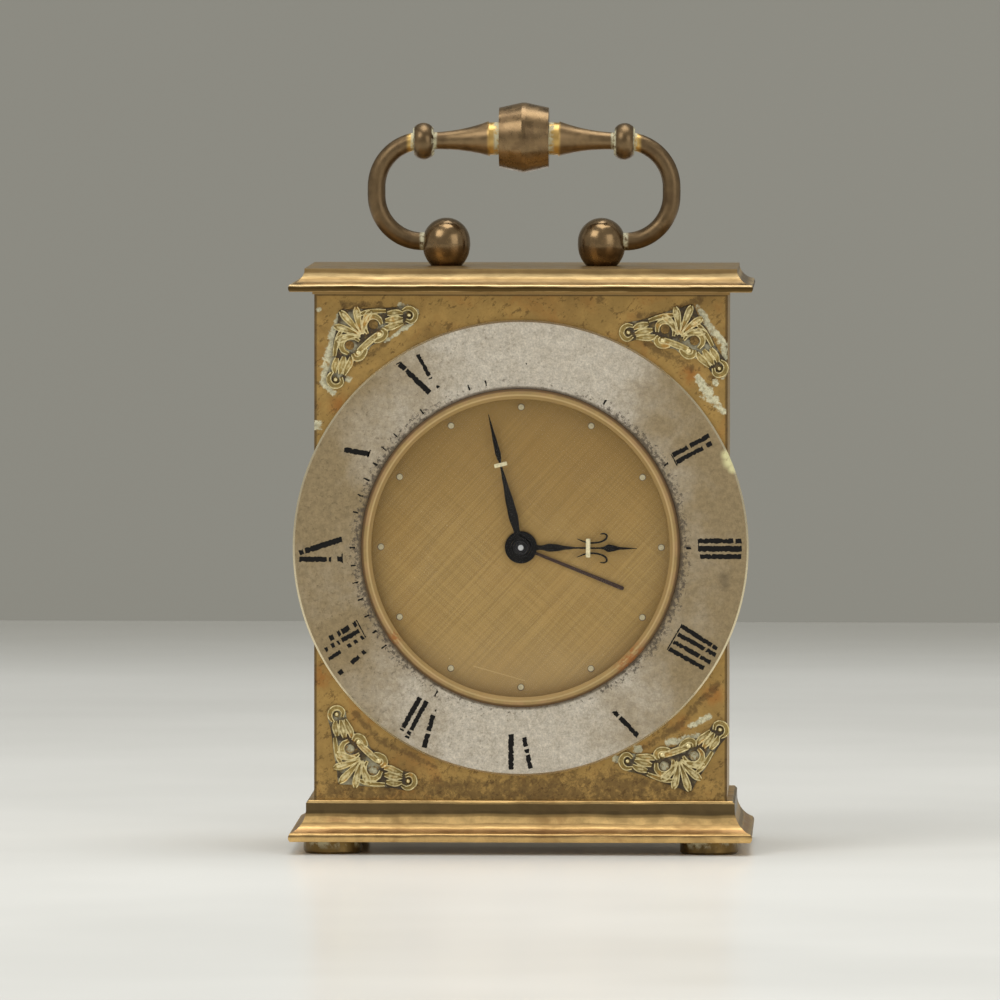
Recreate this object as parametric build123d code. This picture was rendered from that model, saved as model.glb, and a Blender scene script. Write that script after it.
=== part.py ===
from build123d import *
import math
import os

# Desk clock with a folding handle, an alarm and a key-wound movement. All lengths are in millimetres.
# X runs to the right as seen from the front, Y runs from the dial to the back and Z runs up from the floor.
# Places on the dial are pairs (x, z), depths along Y are called front and back.

# General fits
CUT_OVERRUN = 1.0
SCREW_CLEARANCE = 0.03
PIVOT_CLEARANCE = 0.03
SLIP_CLEARANCE = 0.08
END_PLAY = 0.15

# Case
CASE_DEPTH = 36.0
CASE_WALL = 1.2
FRONT_PANEL_THICKNESS = 1.2
BACK_PANEL_THICKNESS = 1.2
CORNER_PILLAR_RADIUS = 2.4
CORNER_PILLAR_GAP = 0.1
BACK_SCREW_RADIUS = 0.9
BACK_SCREW_LENGTH = 5.0
BACK_SCREW_HEAD_RADIUS = 1.7
BACK_SCREW_HEAD_HEIGHT = 0.8
SLOT_WIDTH = 0.45
SLOT_DEPTH = 0.35

# Plinth and feet
PLINTH_HEIGHT = 6.2
PLINTH_LIP_OVERHANG = 3.85
PLINTH_LIP_HEIGHT = 1.27
PLINTH_TOP_OVERHANG = 1.2
PLINTH_BAND_HEIGHT = 1.5
PLINTH_TOP_BEVEL = 0.4
PLINTH_LIP_ROUND = 0.28
FOOT_RADIUS = 4.45
FOOT_HEIGHT = 2.0
FOOT_EDGE = 0.35
FOOT_STUD_RADIUS = 1.5
FOOT_STUD_LENGTH = 2.5
FOOT_SIDE_INSET = 6.6
PLINTH_SCREW_RADIUS = 1.2
PLINTH_SCREW_HEAD_RADIUS = 2.2
PLINTH_SCREW_HEAD_HEIGHT = 1.4
PLINTH_SCREW_RECESS = 0.4
PLINTH_SCREW_REACH = 1.5
PLINTH_SCREW_SIDE_INSET = 13.5
PLINTH_SCREW_END_INSET = 7.0

# Cornice
CORNICE_HEIGHT = 3.95
CORNICE_LIP_OVERHANG = 3.85
CORNICE_LIP_HEIGHT = 1.08
CORNICE_TOP_OVERHANG = 1.45
CORNICE_TOP_BAND_HEIGHT = 0.5
CORNICE_BEAD_OVERHANG = 0.3
CORNICE_BEAD_HEIGHT = 0.45
CORNICE_LIP_ROUND = 0.24
COVE_RUN_SHARE = 0.6
COVE_RISE_SHARE = 0.3

# Handle
BALL_SPACING = 23.84
BALL_RADIUS = 3.65
BALL_HEIGHT = 3.7
BALL_FOOT_RADIUS = 2.35
BALL_FULLNESS_SHARES = (0.9, 0.62)
BALL_STUD_RADIUS = 1.2
BALL_NUT_RADIUS = 2.4
BALL_NUT_HEIGHT = 1.6
BALL_STUD_REACH = 2.2
ARM_RADIUS = 1.37
ARM_BEND_RADIUS = 7.1
ARM_STRAIGHT = 1.25
ARM_SOCKET_DEPTH = 0.9
ARM_PIN_RADIUS = 0.8
ARM_PIN_DEPTH = 1.9
HANDLE_TILT_DEGREES = 2.2
COLLAR_PLACE = 15.43
COLLAR_RADIUS = 2.84
COLLAR_WIDTH = 3.1
COLLAR_EDGE_RADIUS = 2.0
SPIGOT_RADIUS = 0.75
SPIGOT_GRIP_DEPTH = 2.4
SLEEVE_SMALL_RADIUS = 1.32
SLEEVE_LARGE_RADIUS = 2.7
SLEEVE_WAIST_SHARES = (0.5, 0.75)
SLEEVE_NECK_RADIUS = 2.5
SLEEVE_NECK_LENGTH = 1.55
GRIP_HALF_LENGTH = 3.8
GRIP_END_RADIUS = 4.6
GRIP_RADIUS = 5.38
GRIP_RIDGE_HALF_WIDTH = 0.3

# Chapter ring, bezel, crystal and dial
RING_OUTER_RADIUS = 34.75
RING_BAND_WIDTH = 10.4
RING_SIDE_OVERHANG = 3.25
RING_END_MARGIN = 3.85
RING_THICKNESS = 1.1
RING_EDGE = 0.3
RING_PIN_RADIUS = 0.7
RING_PIN_INSET = 6.15
RING_PIN_COUNT = 3
BEZEL_CLEARANCE = 0.06
BEZEL_WIDTH = 1.6
BEZEL_PROUD = 0.9
BEZEL_LIP = 0.7
BEZEL_SLOPE = 0.45
BEZEL_FLANGE_WIDTH = 1.25
BEZEL_FLANGE_THICKNESS = 0.6
CRYSTAL_INSET = 0.85
CRYSTAL_THICKNESS = 1.0
CRYSTAL_RISE = 0.9
DIAL_INSET = 0.15
DIAL_THICKNESS = 0.5
DOT_CIRCLE_SHARE = 0.8843
DOT_RADIUS = 0.53
DOT_HEIGHT = 0.2
HOURS = 12

# Corner ornaments: leg and insets are shares of the room between the ring and the case's corner.
# Each scroll is a ring or a disc, given as shares of the leg
# along the leg, across the leg, outer radius and hole radius.
ORNAMENT_LEG_SHARE = 0.8932
ORNAMENT_SIDE_SHARE = 0.486
ORNAMENT_END_SHARE = 0.4203
ORNAMENT_THICKNESS = 0.9
ORNAMENT_CLEARANCE = 0.15
ORNAMENT_SCROLL_SHARES = (
    (0.53, 0.28, 0.125, 0.055),
    (0.60, 0.37, 0.085, 0.035),
    (0.72, 0.13, 0.085, 0.0),
    (0.71, 0.24, 0.085, 0.0),
    (0.82, 0.17, 0.075, 0.0),
    (0.925, 0.145, 0.085, 0.035),
    (0.36, 0.22, 0.075, 0.0),
)
ORNAMENT_FAN_SHARES = (0.42, 0.30, 0.06)
ORNAMENT_FAN_STEP_DEGREES = 24.0
ORNAMENT_FAN_COUNT = 5
ORNAMENT_BAR_SHARES = (0.30, 0.09)
ORNAMENT_TURNS_DEGREES = {
    "top_left": -3.6,
    "top_right": 23.5,
    "bottom_left": 2.0,
    "bottom_right": -26.0,
}

# Hands: lengths and the width of the lume bars are shares of the dial radius, the other sizes are
# shares of the hand's length. Outlines are pairs of share of the length and share of the widest width
HAND_THICKNESS = 0.25
HAND_GAP = 0.3
MINUTE_LENGTH_SHARE = 0.8657
MINUTE_WIDTH_SHARE = 0.0706
MINUTE_OUTLINE_SHARES = (
    (0.0, 0.55), (0.1, 0.55), (0.24, 1.0), (0.57, 0.24), (0.63, 0.24), (0.68, 0.62), (1.0, 0.1),
)
MINUTE_DEGREES = 346.3
HOUR_LENGTH_SHARE = 0.7335
HOUR_WIDTH_SHARE = 0.0704
HOUR_OUTLINE_SHARES = (
    (0.0, 0.5), (0.14, 0.6), (0.22, 1.0), (0.42, 0.24), (0.66, 0.24), (0.76, 1.0), (0.86, 0.3), (1.0, 0.12),
)
HOUR_DEGREES = 90.4
HOUR_BARB_PLACE_SHARE = 0.66
HOUR_BARB_SHARE = 0.0761
HOUR_BARB_WIDTH_SHARE = 0.0237
ALARM_LENGTH_SHARE = 0.6983
ALARM_WIDTH_SHARE = 0.0355
ALARM_DEGREES = 111.9
LUME_BAR_WIDTH_SHARE = 0.0256
MINUTE_LUME_SHARE = 0.0955
MINUTE_LUME_PLACE_SHARE = 0.62
HOUR_LUME_SHARE = 0.1617
HOUR_LUME_PLACE_SHARE = 0.58

# Movement frame
PLATE_OVERHANG = 0.4
PLATE_DESIGN_RADIUS = 27.0
PLATE_THICKNESS = 1.2
PLATE_GAP = 14.0
MOTION_SPACE = 4.9
PILLAR_DEGREES = (15.0, 90.0, 165.0, 270.0)
MOUNT_WALL = 1.0
MOUNT_LEDGE = 1.0
MOUNT_FLANGE_GAP = 0.5
MOUNT_FLANGE_THICKNESS = 1.2
MOUNT_SCREW_DEGREES = (45.0, 135.0, 225.0, 315.0)
PLATE_SCREW_DEGREES = (45.0, 200.0, 330.0)
SCREW_HEAD_HEIGHT = 0.7
SCREW_BITE = 2.2

# Radii of the dial side, worked out from the chapter ring
ring_inner_radius = RING_OUTER_RADIUS - RING_BAND_WIDTH
ring_pin_circle = ring_inner_radius + RING_PIN_INSET
bezel_opening = ring_inner_radius - BEZEL_WIDTH
bezel_flange_radius = ring_inner_radius + BEZEL_FLANGE_WIDTH
crystal_radius = ring_inner_radius - CRYSTAL_INSET
dial_radius = ring_inner_radius - DIAL_INSET
case_width = 2 * (RING_OUTER_RADIUS - RING_SIDE_OVERHANG)
case_height = 2 * (RING_OUTER_RADIUS + RING_END_MARGIN)
corner_room = math.hypot(case_width / 2, case_height / 2) - RING_OUTER_RADIUS
mount_ring_radius = bezel_flange_radius + MOUNT_WALL
mount_ring_bore = dial_radius - MOUNT_LEDGE
mount_flange_radius = case_width / 2 - CASE_WALL - MOUNT_FLANGE_GAP
mount_screw_circle = (mount_ring_radius + mount_flange_radius) / 2
plate_screw_circle = (mount_ring_bore + mount_ring_radius) / 2
plate_radius = mount_ring_radius + PLATE_OVERHANG
dot_circle = DOT_CIRCLE_SHARE * dial_radius
minute_length = MINUTE_LENGTH_SHARE * dial_radius
hour_length = HOUR_LENGTH_SHARE * dial_radius
alarm_length = ALARM_LENGTH_SHARE * dial_radius
minute_width = MINUTE_WIDTH_SHARE * minute_length
minute_lume_length = MINUTE_LUME_SHARE * minute_length
hour_width = HOUR_WIDTH_SHARE * hour_length
hour_barb_radius = HOUR_BARB_SHARE * hour_length
hour_barb_width = HOUR_BARB_WIDTH_SHARE * hour_length
hour_lume_length = HOUR_LUME_SHARE * hour_length
alarm_width = ALARM_WIDTH_SHARE * alarm_length
lume_bar_width = LUME_BAR_WIDTH_SHARE * dial_radius
ornament_leg = ORNAMENT_LEG_SHARE * corner_room

# The movement is drawn for one plate radius, and its sizes across the dial follow the plate that fits
movement_scale = plate_radius / PLATE_DESIGN_RADIUS
DIAL_HOLE_RADIUS = 2.5 * movement_scale
HAND_HUB_RADIUS = 2.45 * movement_scale
MINUTE_HUB_RADIUS = 1.5 * movement_scale
PILLAR_CIRCLE = 24.4 * movement_scale
PILLAR_RADIUS = 1.7 * movement_scale
PILLAR_SPIGOT_RADIUS = 1.0 * movement_scale
SCREW_RADIUS = 0.7 * movement_scale
SCREW_HEAD_RADIUS = 1.2 * movement_scale

# Gear teeth, as shares of the module and of the tooth spacing
ADDENDUM_SHARE = 0.8
DEDENDUM_SHARE = 1.1
TOOTH_TIP_SHARE = 0.1
TOOTH_ROOT_SHARE = 0.26
SPOKE_HOLE_SHARES = (0.56, 0.24)
SPOKE_HOLES = 5
WHEEL_THICKNESS = 0.6
PINION_OVERHANG = 0.3
ARBOR_RADIUS = 0.5 * movement_scale
FINE_ARBOR_RADIUS = 0.4 * movement_scale
PIVOT_RADIUS = 0.3 * movement_scale

# Going train
BARREL_X = 12.5 * movement_scale
BARREL_DROP = 7.0 * movement_scale
BARREL_TEETH = 72
BARREL_MODULE = 0.27 * movement_scale
BARREL_LEVEL_SHARE = 0.2857
BARREL_RIM = 1.0
BARREL_DRUM_RADIUS = 9.1 * movement_scale
BARREL_DRUM_SHARE = 0.5286
BARREL_WALL = 0.7
BARREL_PINION_TEETH = 9
SPRING_THICKNESS = 0.3 * movement_scale
SPRING_PITCH = 0.7 * movement_scale
SPRING_HALF_TURNS = 14
SPRING_SIDE_GAP = 0.3
WINDING_ARBOR_RADIUS = 1.3 * movement_scale
INTERMEDIATE_TEETH = 60
INTERMEDIATE_MODULE = 0.2 * movement_scale
INTERMEDIATE_LEVEL_SHARE = 0.0857
CENTRE_PINION_TEETH = 15
CENTRE_TEETH = 64
CENTRE_MODULE = 0.18 * movement_scale
CENTRE_LEVEL_SHARE = 0.1857
CENTRE_ARBOR_RADIUS = 0.7 * movement_scale
CENTRE_TIP_RADIUS = 0.41 * movement_scale
THIRD_PINION_TEETH = 8
THIRD_DEGREES = 90.0
THIRD_TEETH = 60
THIRD_MODULE = 0.16 * movement_scale
THIRD_LEVEL_SHARE = 0.3
FOURTH_PINION_TEETH = 8
FOURTH_DEGREES = 75.0
FOURTH_TEETH = 64
FOURTH_MODULE = 0.13 * movement_scale
FOURTH_LEVEL_SHARE = 0.4143
ESCAPE_PINION_TEETH = 8
ESCAPE_DEGREES = 155.0
ESCAPE_TEETH = 15
ESCAPE_RADIUS = 2.9 * movement_scale
ESCAPE_TOOTH_DEPTH = 0.8 * movement_scale
ESCAPE_LEAN_SHARE = 0.8
ESCAPE_LEVEL_SHARE = 0.5429
PALLET_DEGREES = 190.0
PALLET_DISTANCE = 3.9 * movement_scale
PALLET_SPAN_DEGREES = 42.0
PALLET_GAP = 0.15 * movement_scale
PALLET_SIZE = 0.55 * movement_scale
PALLET_ARM_WIDTH = 0.6 * movement_scale
BALANCE_DEGREES = 185.0
BALANCE_DISTANCE = 6.2 * movement_scale
BALANCE_RADIUS = 4.9 * movement_scale
BALANCE_RIM_WIDTH = 0.8 * movement_scale
BALANCE_RIM_HEIGHT = 1.0
BALANCE_LEVEL_SHARE = 0.6714
BALANCE_ARM_WIDTH = 0.8 * movement_scale
BALANCE_ARMS = 3
ROLLER_RADIUS = 1.3 * movement_scale
ROLLER_GAP = 0.25 * movement_scale
HAIRSPRING_LEVEL_SHARE = 0.8
HAIRSPRING_HEIGHT = 0.4
HAIRSPRING_THICKNESS = 0.1 * movement_scale
HAIRSPRING_PITCH = 0.36 * movement_scale
HAIRSPRING_HALF_TURNS = 13
COLLET_RADIUS = 0.8 * movement_scale
HAIRSPRING_GAP = 0.1 * movement_scale
COCK_OPENING_RADIUS = 5.6 * movement_scale
COCK_DEGREES = 135.0
COCK_FOOT_DISTANCE = 7.4 * movement_scale
COCK_WIDTH = 3.2 * movement_scale
COCK_THICKNESS = 1.2
COCK_BOSS_RADIUS = 1.3 * movement_scale
COCK_BOSS_HEIGHT = 1.4
STUD_RADIUS = 0.35 * movement_scale
REGULATOR_RING_RADIUS = 2.3 * movement_scale
REGULATOR_THICKNESS = 0.6
REGULATOR_LIFT = 0.3
REGULATOR_REACH = 7.2 * movement_scale
REGULATOR_DEGREES = 80.0
REGULATOR_WIDTH = 1.2 * movement_scale
REGULATOR_POST_RADIUS = 0.7 * movement_scale
REGULATOR_PROUD = 1.8
REGULATOR_SWING_DEGREES = 20.0
REGULATOR_SLOT_GAP = 0.4 * movement_scale
REGULATOR_SLOT_STEPS = 4

# Motion work between the dial and the front plate
CANNON_TEETH = 12
MINUTE_WHEEL_TEETH = 36
MINUTE_MODULE = 0.25 * movement_scale
MINUTE_PINION_TEETH = 10
HOUR_WHEEL_TEETH = 40
MINUTE_WHEEL_DEGREES = 150.0
MINUTE_STUD_RADIUS = 0.6 * movement_scale
MINUTE_LEVEL_SHARE = 0.2041
HOUR_LEVEL_SHARE = 0.4898
ALARM_WHEEL_LEVEL_SHARE = 0.7551
SET_PINION_TEETH = 12
ALARM_WHEEL_TEETH = 64
ALARM_PINION_TEETH = 16
ALARM_MODULE = 0.3 * movement_scale
ALARM_SET_DEGREES = 30.0
CANNON_PIPE_RADIUS = 1.1 * movement_scale
HOUR_PIPE_RADIUS = 1.5 * movement_scale
ALARM_PIPE_RADIUS = 1.95 * movement_scale
PIPE_CLEARANCE = 0.05
PIPE_STEP = 0.15

# Ratchets and clicks behind the back plate
RATCHET_TEETH = 24
RATCHET_RADIUS = 3.6 * movement_scale
RATCHET_TOOTH_DEPTH = 0.5 * movement_scale
RATCHET_LEAN_SHARE = 0.15
RATCHET_THICKNESS = 1.0
RATCHET_LIFT = 0.3
CLICK_DISTANCE = 5.6 * movement_scale
CLICK_DEGREES = 115.0
CLICK_LEAD_DEGREES = 40.0
CLICK_WIDTH = 1.4 * movement_scale
CLICK_NOSE = 0.3 * movement_scale
CLICK_TAIL = 2.6 * movement_scale
CLICK_PIN_RADIUS = 0.5 * movement_scale

# Alarm train and hammer
STAR_DEGREES = 225.0
STAR_TEETH = 16
STAR_RADIUS = 3.6 * movement_scale
STAR_TOOTH_DEPTH = 0.9 * movement_scale
STAR_LEAN_SHARE = 0.5
STAR_LEVEL_SHARE = 0.1714
HAMMER_DEGREES = 200.0
HAMMER_DISTANCE = 5.0 * movement_scale
HAMMER_LIFT = 3.0
HAMMER_ARM_THICKNESS = 1.0
HAMMER_ARM_WIDTH = 1.4 * movement_scale
HAMMER_ARM_LENGTH = 9.0 * movement_scale
HAMMER_HEAD_RADIUS = 1.7 * movement_scale
HAMMER_HEAD_SHARE = 0.2927
HAMMER_TAIL_LENGTH = 4.5 * movement_scale
HAMMER_ARBOR_RADIUS = 0.7 * movement_scale
HAMMER_SWING_DEGREES = 6.0
GONG_RADIUS = 1.4 * movement_scale
GONG_GAP = 0.25 * movement_scale
GONG_TENON_RADIUS = 0.8 * movement_scale

# Keys, knobs and the stop button on the back
KEY_STANDOFF = 0.6
KEY_HUB_RADIUS = 2.3
KEY_HUB_LENGTH = 5.0
KEY_WING_REACH = 5.0
KEY_WING_RADIUS = 3.3
KEY_WING_HOLE_RADIUS = 1.5
KEY_WING_THICKNESS = 1.4
KEY_WING_PLACE = 4.9
KEY_THREAD_RADIUS = 0.9 * movement_scale
ARBOR_HOLE_GAP = 0.35
SETTING_ARBOR_RADIUS = 0.8 * movement_scale
KNOB_RADIUS = 3.3
KNOB_LENGTH = 3.4
KNOB_FLUTES = 24
KNOB_FLUTE_DEPTH = 0.25
KNOB_LEAN_SHARE = 0.5
KNOB_CROWN = 0.5
STOP_ROD_RADIUS = 0.9 * movement_scale
STOP_TAIL_GAP = 0.2 * movement_scale
STOP_HEAD_RADIUS = 2.4 * movement_scale
STOP_HEAD_LENGTH = 1.6
STOP_TRAVEL = 2.2
STOP_HEAD_GAP = 0.5
STOP_CLEARANCE = 0.06
SOUND_SLOTS = 5
SOUND_SLOT_LENGTH = 12.0
SOUND_SLOT_WIDTH = 1.2
SOUND_SLOT_PITCH = 2.6
SOUND_SLOT_PLACE_SHARE = 0.7655

# Levels worked out from the sizes
plinth_bottom = FOOT_HEIGHT
case_bottom = plinth_bottom + PLINTH_HEIGHT
case_top = case_bottom + case_height
cornice_top = case_top + CORNICE_HEIGHT
dial_centre = (0, case_bottom + case_height / 2)
pivot_height = cornice_top + BALL_HEIGHT

# Depths worked out from the sizes, with zero at the middle of the case
panel_front = -CASE_DEPTH / 2
panel_back = panel_front + FRONT_PANEL_THICKNESS
back_panel_back = CASE_DEPTH / 2
back_panel_front = back_panel_back - BACK_PANEL_THICKNESS
ring_front = panel_front - RING_THICKNESS
bezel_front = ring_front - BEZEL_PROUD
bezel_back = panel_back + BEZEL_FLANGE_THICKNESS
crystal_front = bezel_front + BEZEL_LIP
crystal_back = crystal_front + CRYSTAL_THICKNESS
dial_front = bezel_back
dial_back = dial_front + DIAL_THICKNESS
plate_front = dial_back + MOTION_SPACE
gap_front = plate_front + PLATE_THICKNESS
gap_back = gap_front + PLATE_GAP
plate_back = gap_back + PLATE_THICKNESS
alarm_hand_back = dial_front - HAND_GAP
hour_hand_back = alarm_hand_back - HAND_THICKNESS - HAND_GAP
minute_hand_back = hour_hand_back - HAND_THICKNESS - HAND_GAP
key_front = back_panel_back + KEY_STANDOFF
key_back = key_front + KEY_WING_PLACE + KEY_WING_RADIUS
front_reach = panel_front - max(PLINTH_LIP_OVERHANG, CORNICE_LIP_OVERHANG)
frame_shift = -(front_reach + key_back) / 2


def polar(origin, distance, degrees):
    """The place at a distance and direction from another place on the dial."""
    angle = math.radians(degrees)
    return (origin[0] + distance * math.cos(angle), origin[1] + distance * math.sin(angle))


def direction(start, end):
    """The direction in degrees from one place to another."""
    return math.degrees(math.atan2(end[1] - start[1], end[0] - start[0]))


def meeting_place(first, first_distance, second, second_distance):
    """The place at two given distances from two others, on the left of the way from first to second."""
    apart = math.hypot(second[0] - first[0], second[1] - first[1])
    along = (first_distance**2 - second_distance**2 + apart**2) / (2 * apart)
    aside = math.sqrt(first_distance**2 - along**2)
    way = direction(first, second)
    return polar(polar(first, along, way), aside, way + 90)


def mesh_distance(module, teeth, other_teeth):
    """The distance between the arbors of two wheels in mesh."""
    return module * (teeth + other_teeth) / 2


# Places of the arbors
time_barrel_at = (dial_centre[0] - BARREL_X, dial_centre[1] - BARREL_DROP)
alarm_barrel_at = (dial_centre[0] + BARREL_X, dial_centre[1] - BARREL_DROP)
barrel_distance = mesh_distance(BARREL_MODULE, BARREL_TEETH, BARREL_PINION_TEETH)
intermediate_at = meeting_place(
    dial_centre,
    mesh_distance(INTERMEDIATE_MODULE, INTERMEDIATE_TEETH, CENTRE_PINION_TEETH),
    time_barrel_at,
    barrel_distance,
)
third_at = polar(dial_centre, mesh_distance(CENTRE_MODULE, CENTRE_TEETH, THIRD_PINION_TEETH), THIRD_DEGREES)
fourth_at = polar(third_at, mesh_distance(THIRD_MODULE, THIRD_TEETH, FOURTH_PINION_TEETH), FOURTH_DEGREES)
escape_at = polar(fourth_at, mesh_distance(FOURTH_MODULE, FOURTH_TEETH, ESCAPE_PINION_TEETH), ESCAPE_DEGREES)
pallet_at = polar(escape_at, PALLET_DISTANCE, PALLET_DEGREES)
balance_at = polar(pallet_at, BALANCE_DISTANCE, BALANCE_DEGREES)
minute_distance = mesh_distance(MINUTE_MODULE, CANNON_TEETH, MINUTE_WHEEL_TEETH)
hour_module = 2 * minute_distance / (MINUTE_PINION_TEETH + HOUR_WHEEL_TEETH)
minute_wheel_at = polar(dial_centre, minute_distance, MINUTE_WHEEL_DEGREES)
hand_set_at = polar(
    minute_wheel_at, mesh_distance(MINUTE_MODULE, MINUTE_WHEEL_TEETH, SET_PINION_TEETH), MINUTE_WHEEL_DEGREES
)
alarm_set_at = polar(
    dial_centre, mesh_distance(ALARM_MODULE, ALARM_WHEEL_TEETH, ALARM_PINION_TEETH), ALARM_SET_DEGREES
)
star_at = polar(alarm_barrel_at, barrel_distance, STAR_DEGREES)
hammer_at = polar(star_at, HAMMER_DISTANCE, HAMMER_DEGREES)
stop_at = (
    hammer_at[0] + HAMMER_ARM_WIDTH / 2 + STOP_TAIL_GAP + STOP_ROD_RADIUS, hammer_at[1] - HAMMER_TAIL_LENGTH
)
pillar_places = [polar(dial_centre, PILLAR_CIRCLE, degrees) for degrees in PILLAR_DEGREES]
plate_screw_places = [polar(dial_centre, plate_screw_circle, degrees) for degrees in PLATE_SCREW_DEGREES]
mount_screw_places = [polar(dial_centre, mount_screw_circle, degrees) for degrees in MOUNT_SCREW_DEGREES]
cock_foot_at = polar(balance_at, COCK_FOOT_DISTANCE, COCK_DEGREES)


def slab(outline, front, back):
    """A flat outline, drawn as seen from the front, with thickness from one depth to another."""
    sheet = Plane(origin=(0, back, 0), x_dir=(1, 0, 0), z_dir=(0, -1, 0))
    return extrude(sheet * outline, amount=back - front)


def disc(at, radius, front, back):
    """A round bar along the depth."""
    return slab(Pos(*at) * Circle(radius), front, back)


def hole(at, radius, front, back):
    """A cutter for a round hole right through from one depth to another."""
    return disc(at, radius, front - CUT_OVERRUN, back + CUT_OVERRUN)


def ring(at, outer, inner, front, back):
    """A round bar with a round hole."""
    return disc(at, outer, front, back) - hole(at, inner, front, back)


def bar(start, end, width, front, back):
    """A flat bar with round ends from one place to another."""
    length = math.hypot(end[0] - start[0], end[1] - start[1])
    middle = ((start[0] + end[0]) / 2, (start[1] + end[1]) / 2)
    outline = Pos(*middle) * Rot(0, 0, direction(start, end)) * SlotCenterToCenter(length, width)
    return slab(outline, front, back)


def star_outline(at, teeth, tip, root, lean_share, phase_degrees):
    """A wheel of pointed teeth; the lean is the share of the spacing from a root to its tip."""
    step = 360 / teeth
    points = []
    for tooth in range(teeth):
        points.append(polar(at, root, phase_degrees + tooth * step))
        points.append(polar(at, tip, phase_degrees + (tooth + lean_share) * step))
    return make_face(Polyline(*points, close=True))


def gear_outline(at, teeth, module, phase_degrees):
    """A toothed wheel with one tooth in the direction of the phase."""
    pitch_radius = module * teeth / 2
    tip = pitch_radius + ADDENDUM_SHARE * module
    root = pitch_radius - DEDENDUM_SHARE * module
    corners = (
        (root, -TOOTH_ROOT_SHARE), (tip, -TOOTH_TIP_SHARE), (tip, TOOTH_TIP_SHARE), (root, TOOTH_ROOT_SHARE)
    )
    step = 360 / teeth
    points = []
    for tooth in range(teeth):
        for radius, share in corners:
            points.append(polar(at, radius, phase_degrees + (tooth + share) * step))
    return make_face(Polyline(*points, close=True))


def meshing_phase(at, teeth, phase_degrees, other_at, other_teeth):
    """The phase that puts a gap of the other wheel where this wheel has a tooth."""
    way = direction(at, other_at)
    lead = (phase_degrees - way) * teeth / 360
    return way + 180 + (0.5 - lead) * 360 / other_teeth


def gear(at, teeth, module, phase_degrees, front, back):
    """A solid toothed wheel."""
    return slab(gear_outline(at, teeth, module, phase_degrees), front, back)


def spoked_gear(at, teeth, module, phase_degrees, front, back):
    """A toothed wheel with round openings that lighten it."""
    wheel = gear(at, teeth, module, phase_degrees, front, back)
    pitch_radius = module * teeth / 2
    for spoke in range(SPOKE_HOLES):
        hole_at = polar(at, SPOKE_HOLE_SHARES[0] * pitch_radius, phase_degrees + spoke * 360 / SPOKE_HOLES)
        wheel -= hole(hole_at, SPOKE_HOLE_SHARES[1] * pitch_radius, front, back)
    return wheel


def level(gap_share):
    """A depth between the movement plates, as a share of the gap behind the front plate."""
    return gap_front + gap_share * PLATE_GAP


def wheel_span(gap_share):
    """The front and back of a wheel between the plates."""
    return level(gap_share), level(gap_share) + WHEEL_THICKNESS


def pinion_span(gap_share, thickness=WHEEL_THICKNESS):
    """The front and back of the pinion that meets a wheel at that depth."""
    return level(gap_share) - PINION_OVERHANG, level(gap_share) + thickness + PINION_OVERHANG


def arbor(at, radius, pivot_radius=PIVOT_RADIUS):
    """An arbor between the plates, with a pivot in each plate."""
    shaft = disc(at, radius, gap_front + END_PLAY, gap_back - END_PLAY)
    return shaft + disc(at, pivot_radius, plate_front, plate_back)


def pivot_holes(pivot_radius, places, front, back):
    """Cutters for the holes that pivots run in."""
    return [hole(at, pivot_radius + PIVOT_CLEARANCE, front, back) for at in places]


def screw(at, radius, tip, head_seat, head_radius, head_height):
    """A slotted screw along the depth, with its head behind the seat."""
    body = disc(at, radius, tip, head_seat) + disc(at, head_radius, head_seat, head_seat + head_height)
    slot = Pos(*at) * Rectangle(2 * head_radius + CUT_OVERRUN, SLOT_WIDTH)
    head_back = head_seat + head_height
    return body - slab(slot, head_back - SLOT_DEPTH, head_back + CUT_OVERRUN)


def spiral_outline(at, inner_radius, pitch, half_turns, thickness):
    """A flat spiral strip built from half circles about two centres half a pitch apart."""
    shift = pitch / 2
    outer_edges = []
    inner_edges = []
    for half in range(half_turns):
        radius = inner_radius + half * shift
        centre = (at[0] + (shift / 2 if half % 2 else -shift / 2), at[1])
        start = 180 if half % 2 else 0
        outer_edges.append(CenterArc(centre, radius + thickness, start, 180))
        inner_edges.append(CenterArc(centre, radius, start, 180))
    ends = [Line(outer_edges[0] @ 0, inner_edges[0] @ 0), Line(outer_edges[-1] @ 1, inner_edges[-1] @ 1)]
    return make_face(outer_edges + inner_edges + ends)


def moulded_block(half_width, half_depth, profile, bottom):
    """A rectangular block whose four sides follow one profile of overhangs, mitred at the corners."""
    def silhouette(half):
        edges = []
        for segment in profile:
            for side in (1, -1):
                points = [(side * (half + overhang), height) for overhang, height in segment]
                edges.append(Line(*points) if len(points) == 2 else ThreePointArc(*points))
        for overhang, height in (profile[0][0], profile[-1][-1]):
            edges.append(Line((-half - overhang, height), (half + overhang, height)))
        return make_face(edges)

    widest = max(overhang for segment in profile for overhang, height in segment)
    front_view = extrude(Plane.XZ * silhouette(half_width), amount=half_depth + widest, both=True)
    side_view = extrude(Plane.YZ * silhouette(half_depth), amount=half_width + widest, both=True)
    return Pos(0, 0, bottom) * (front_view & side_view)


def hollow_arc(low, high):
    """Three points of a hollow curve from the lip to the band above it."""
    middle = (
        low[0] + (high[0] - low[0]) * COVE_RUN_SHARE,
        low[1] + (high[1] - low[1]) * COVE_RISE_SHARE,
    )
    return (low, middle, high)


def upright(x, y, radius, bottom, top):
    """A round bar along the height."""
    return Pos(x, y, (bottom + top) / 2) * Cylinder(radius, top - bottom)


def corner_signs():
    """The four corners, as signs of x and of the second direction."""
    return [(-1, -1), (1, -1), (-1, 1), (1, 1)]


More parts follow.
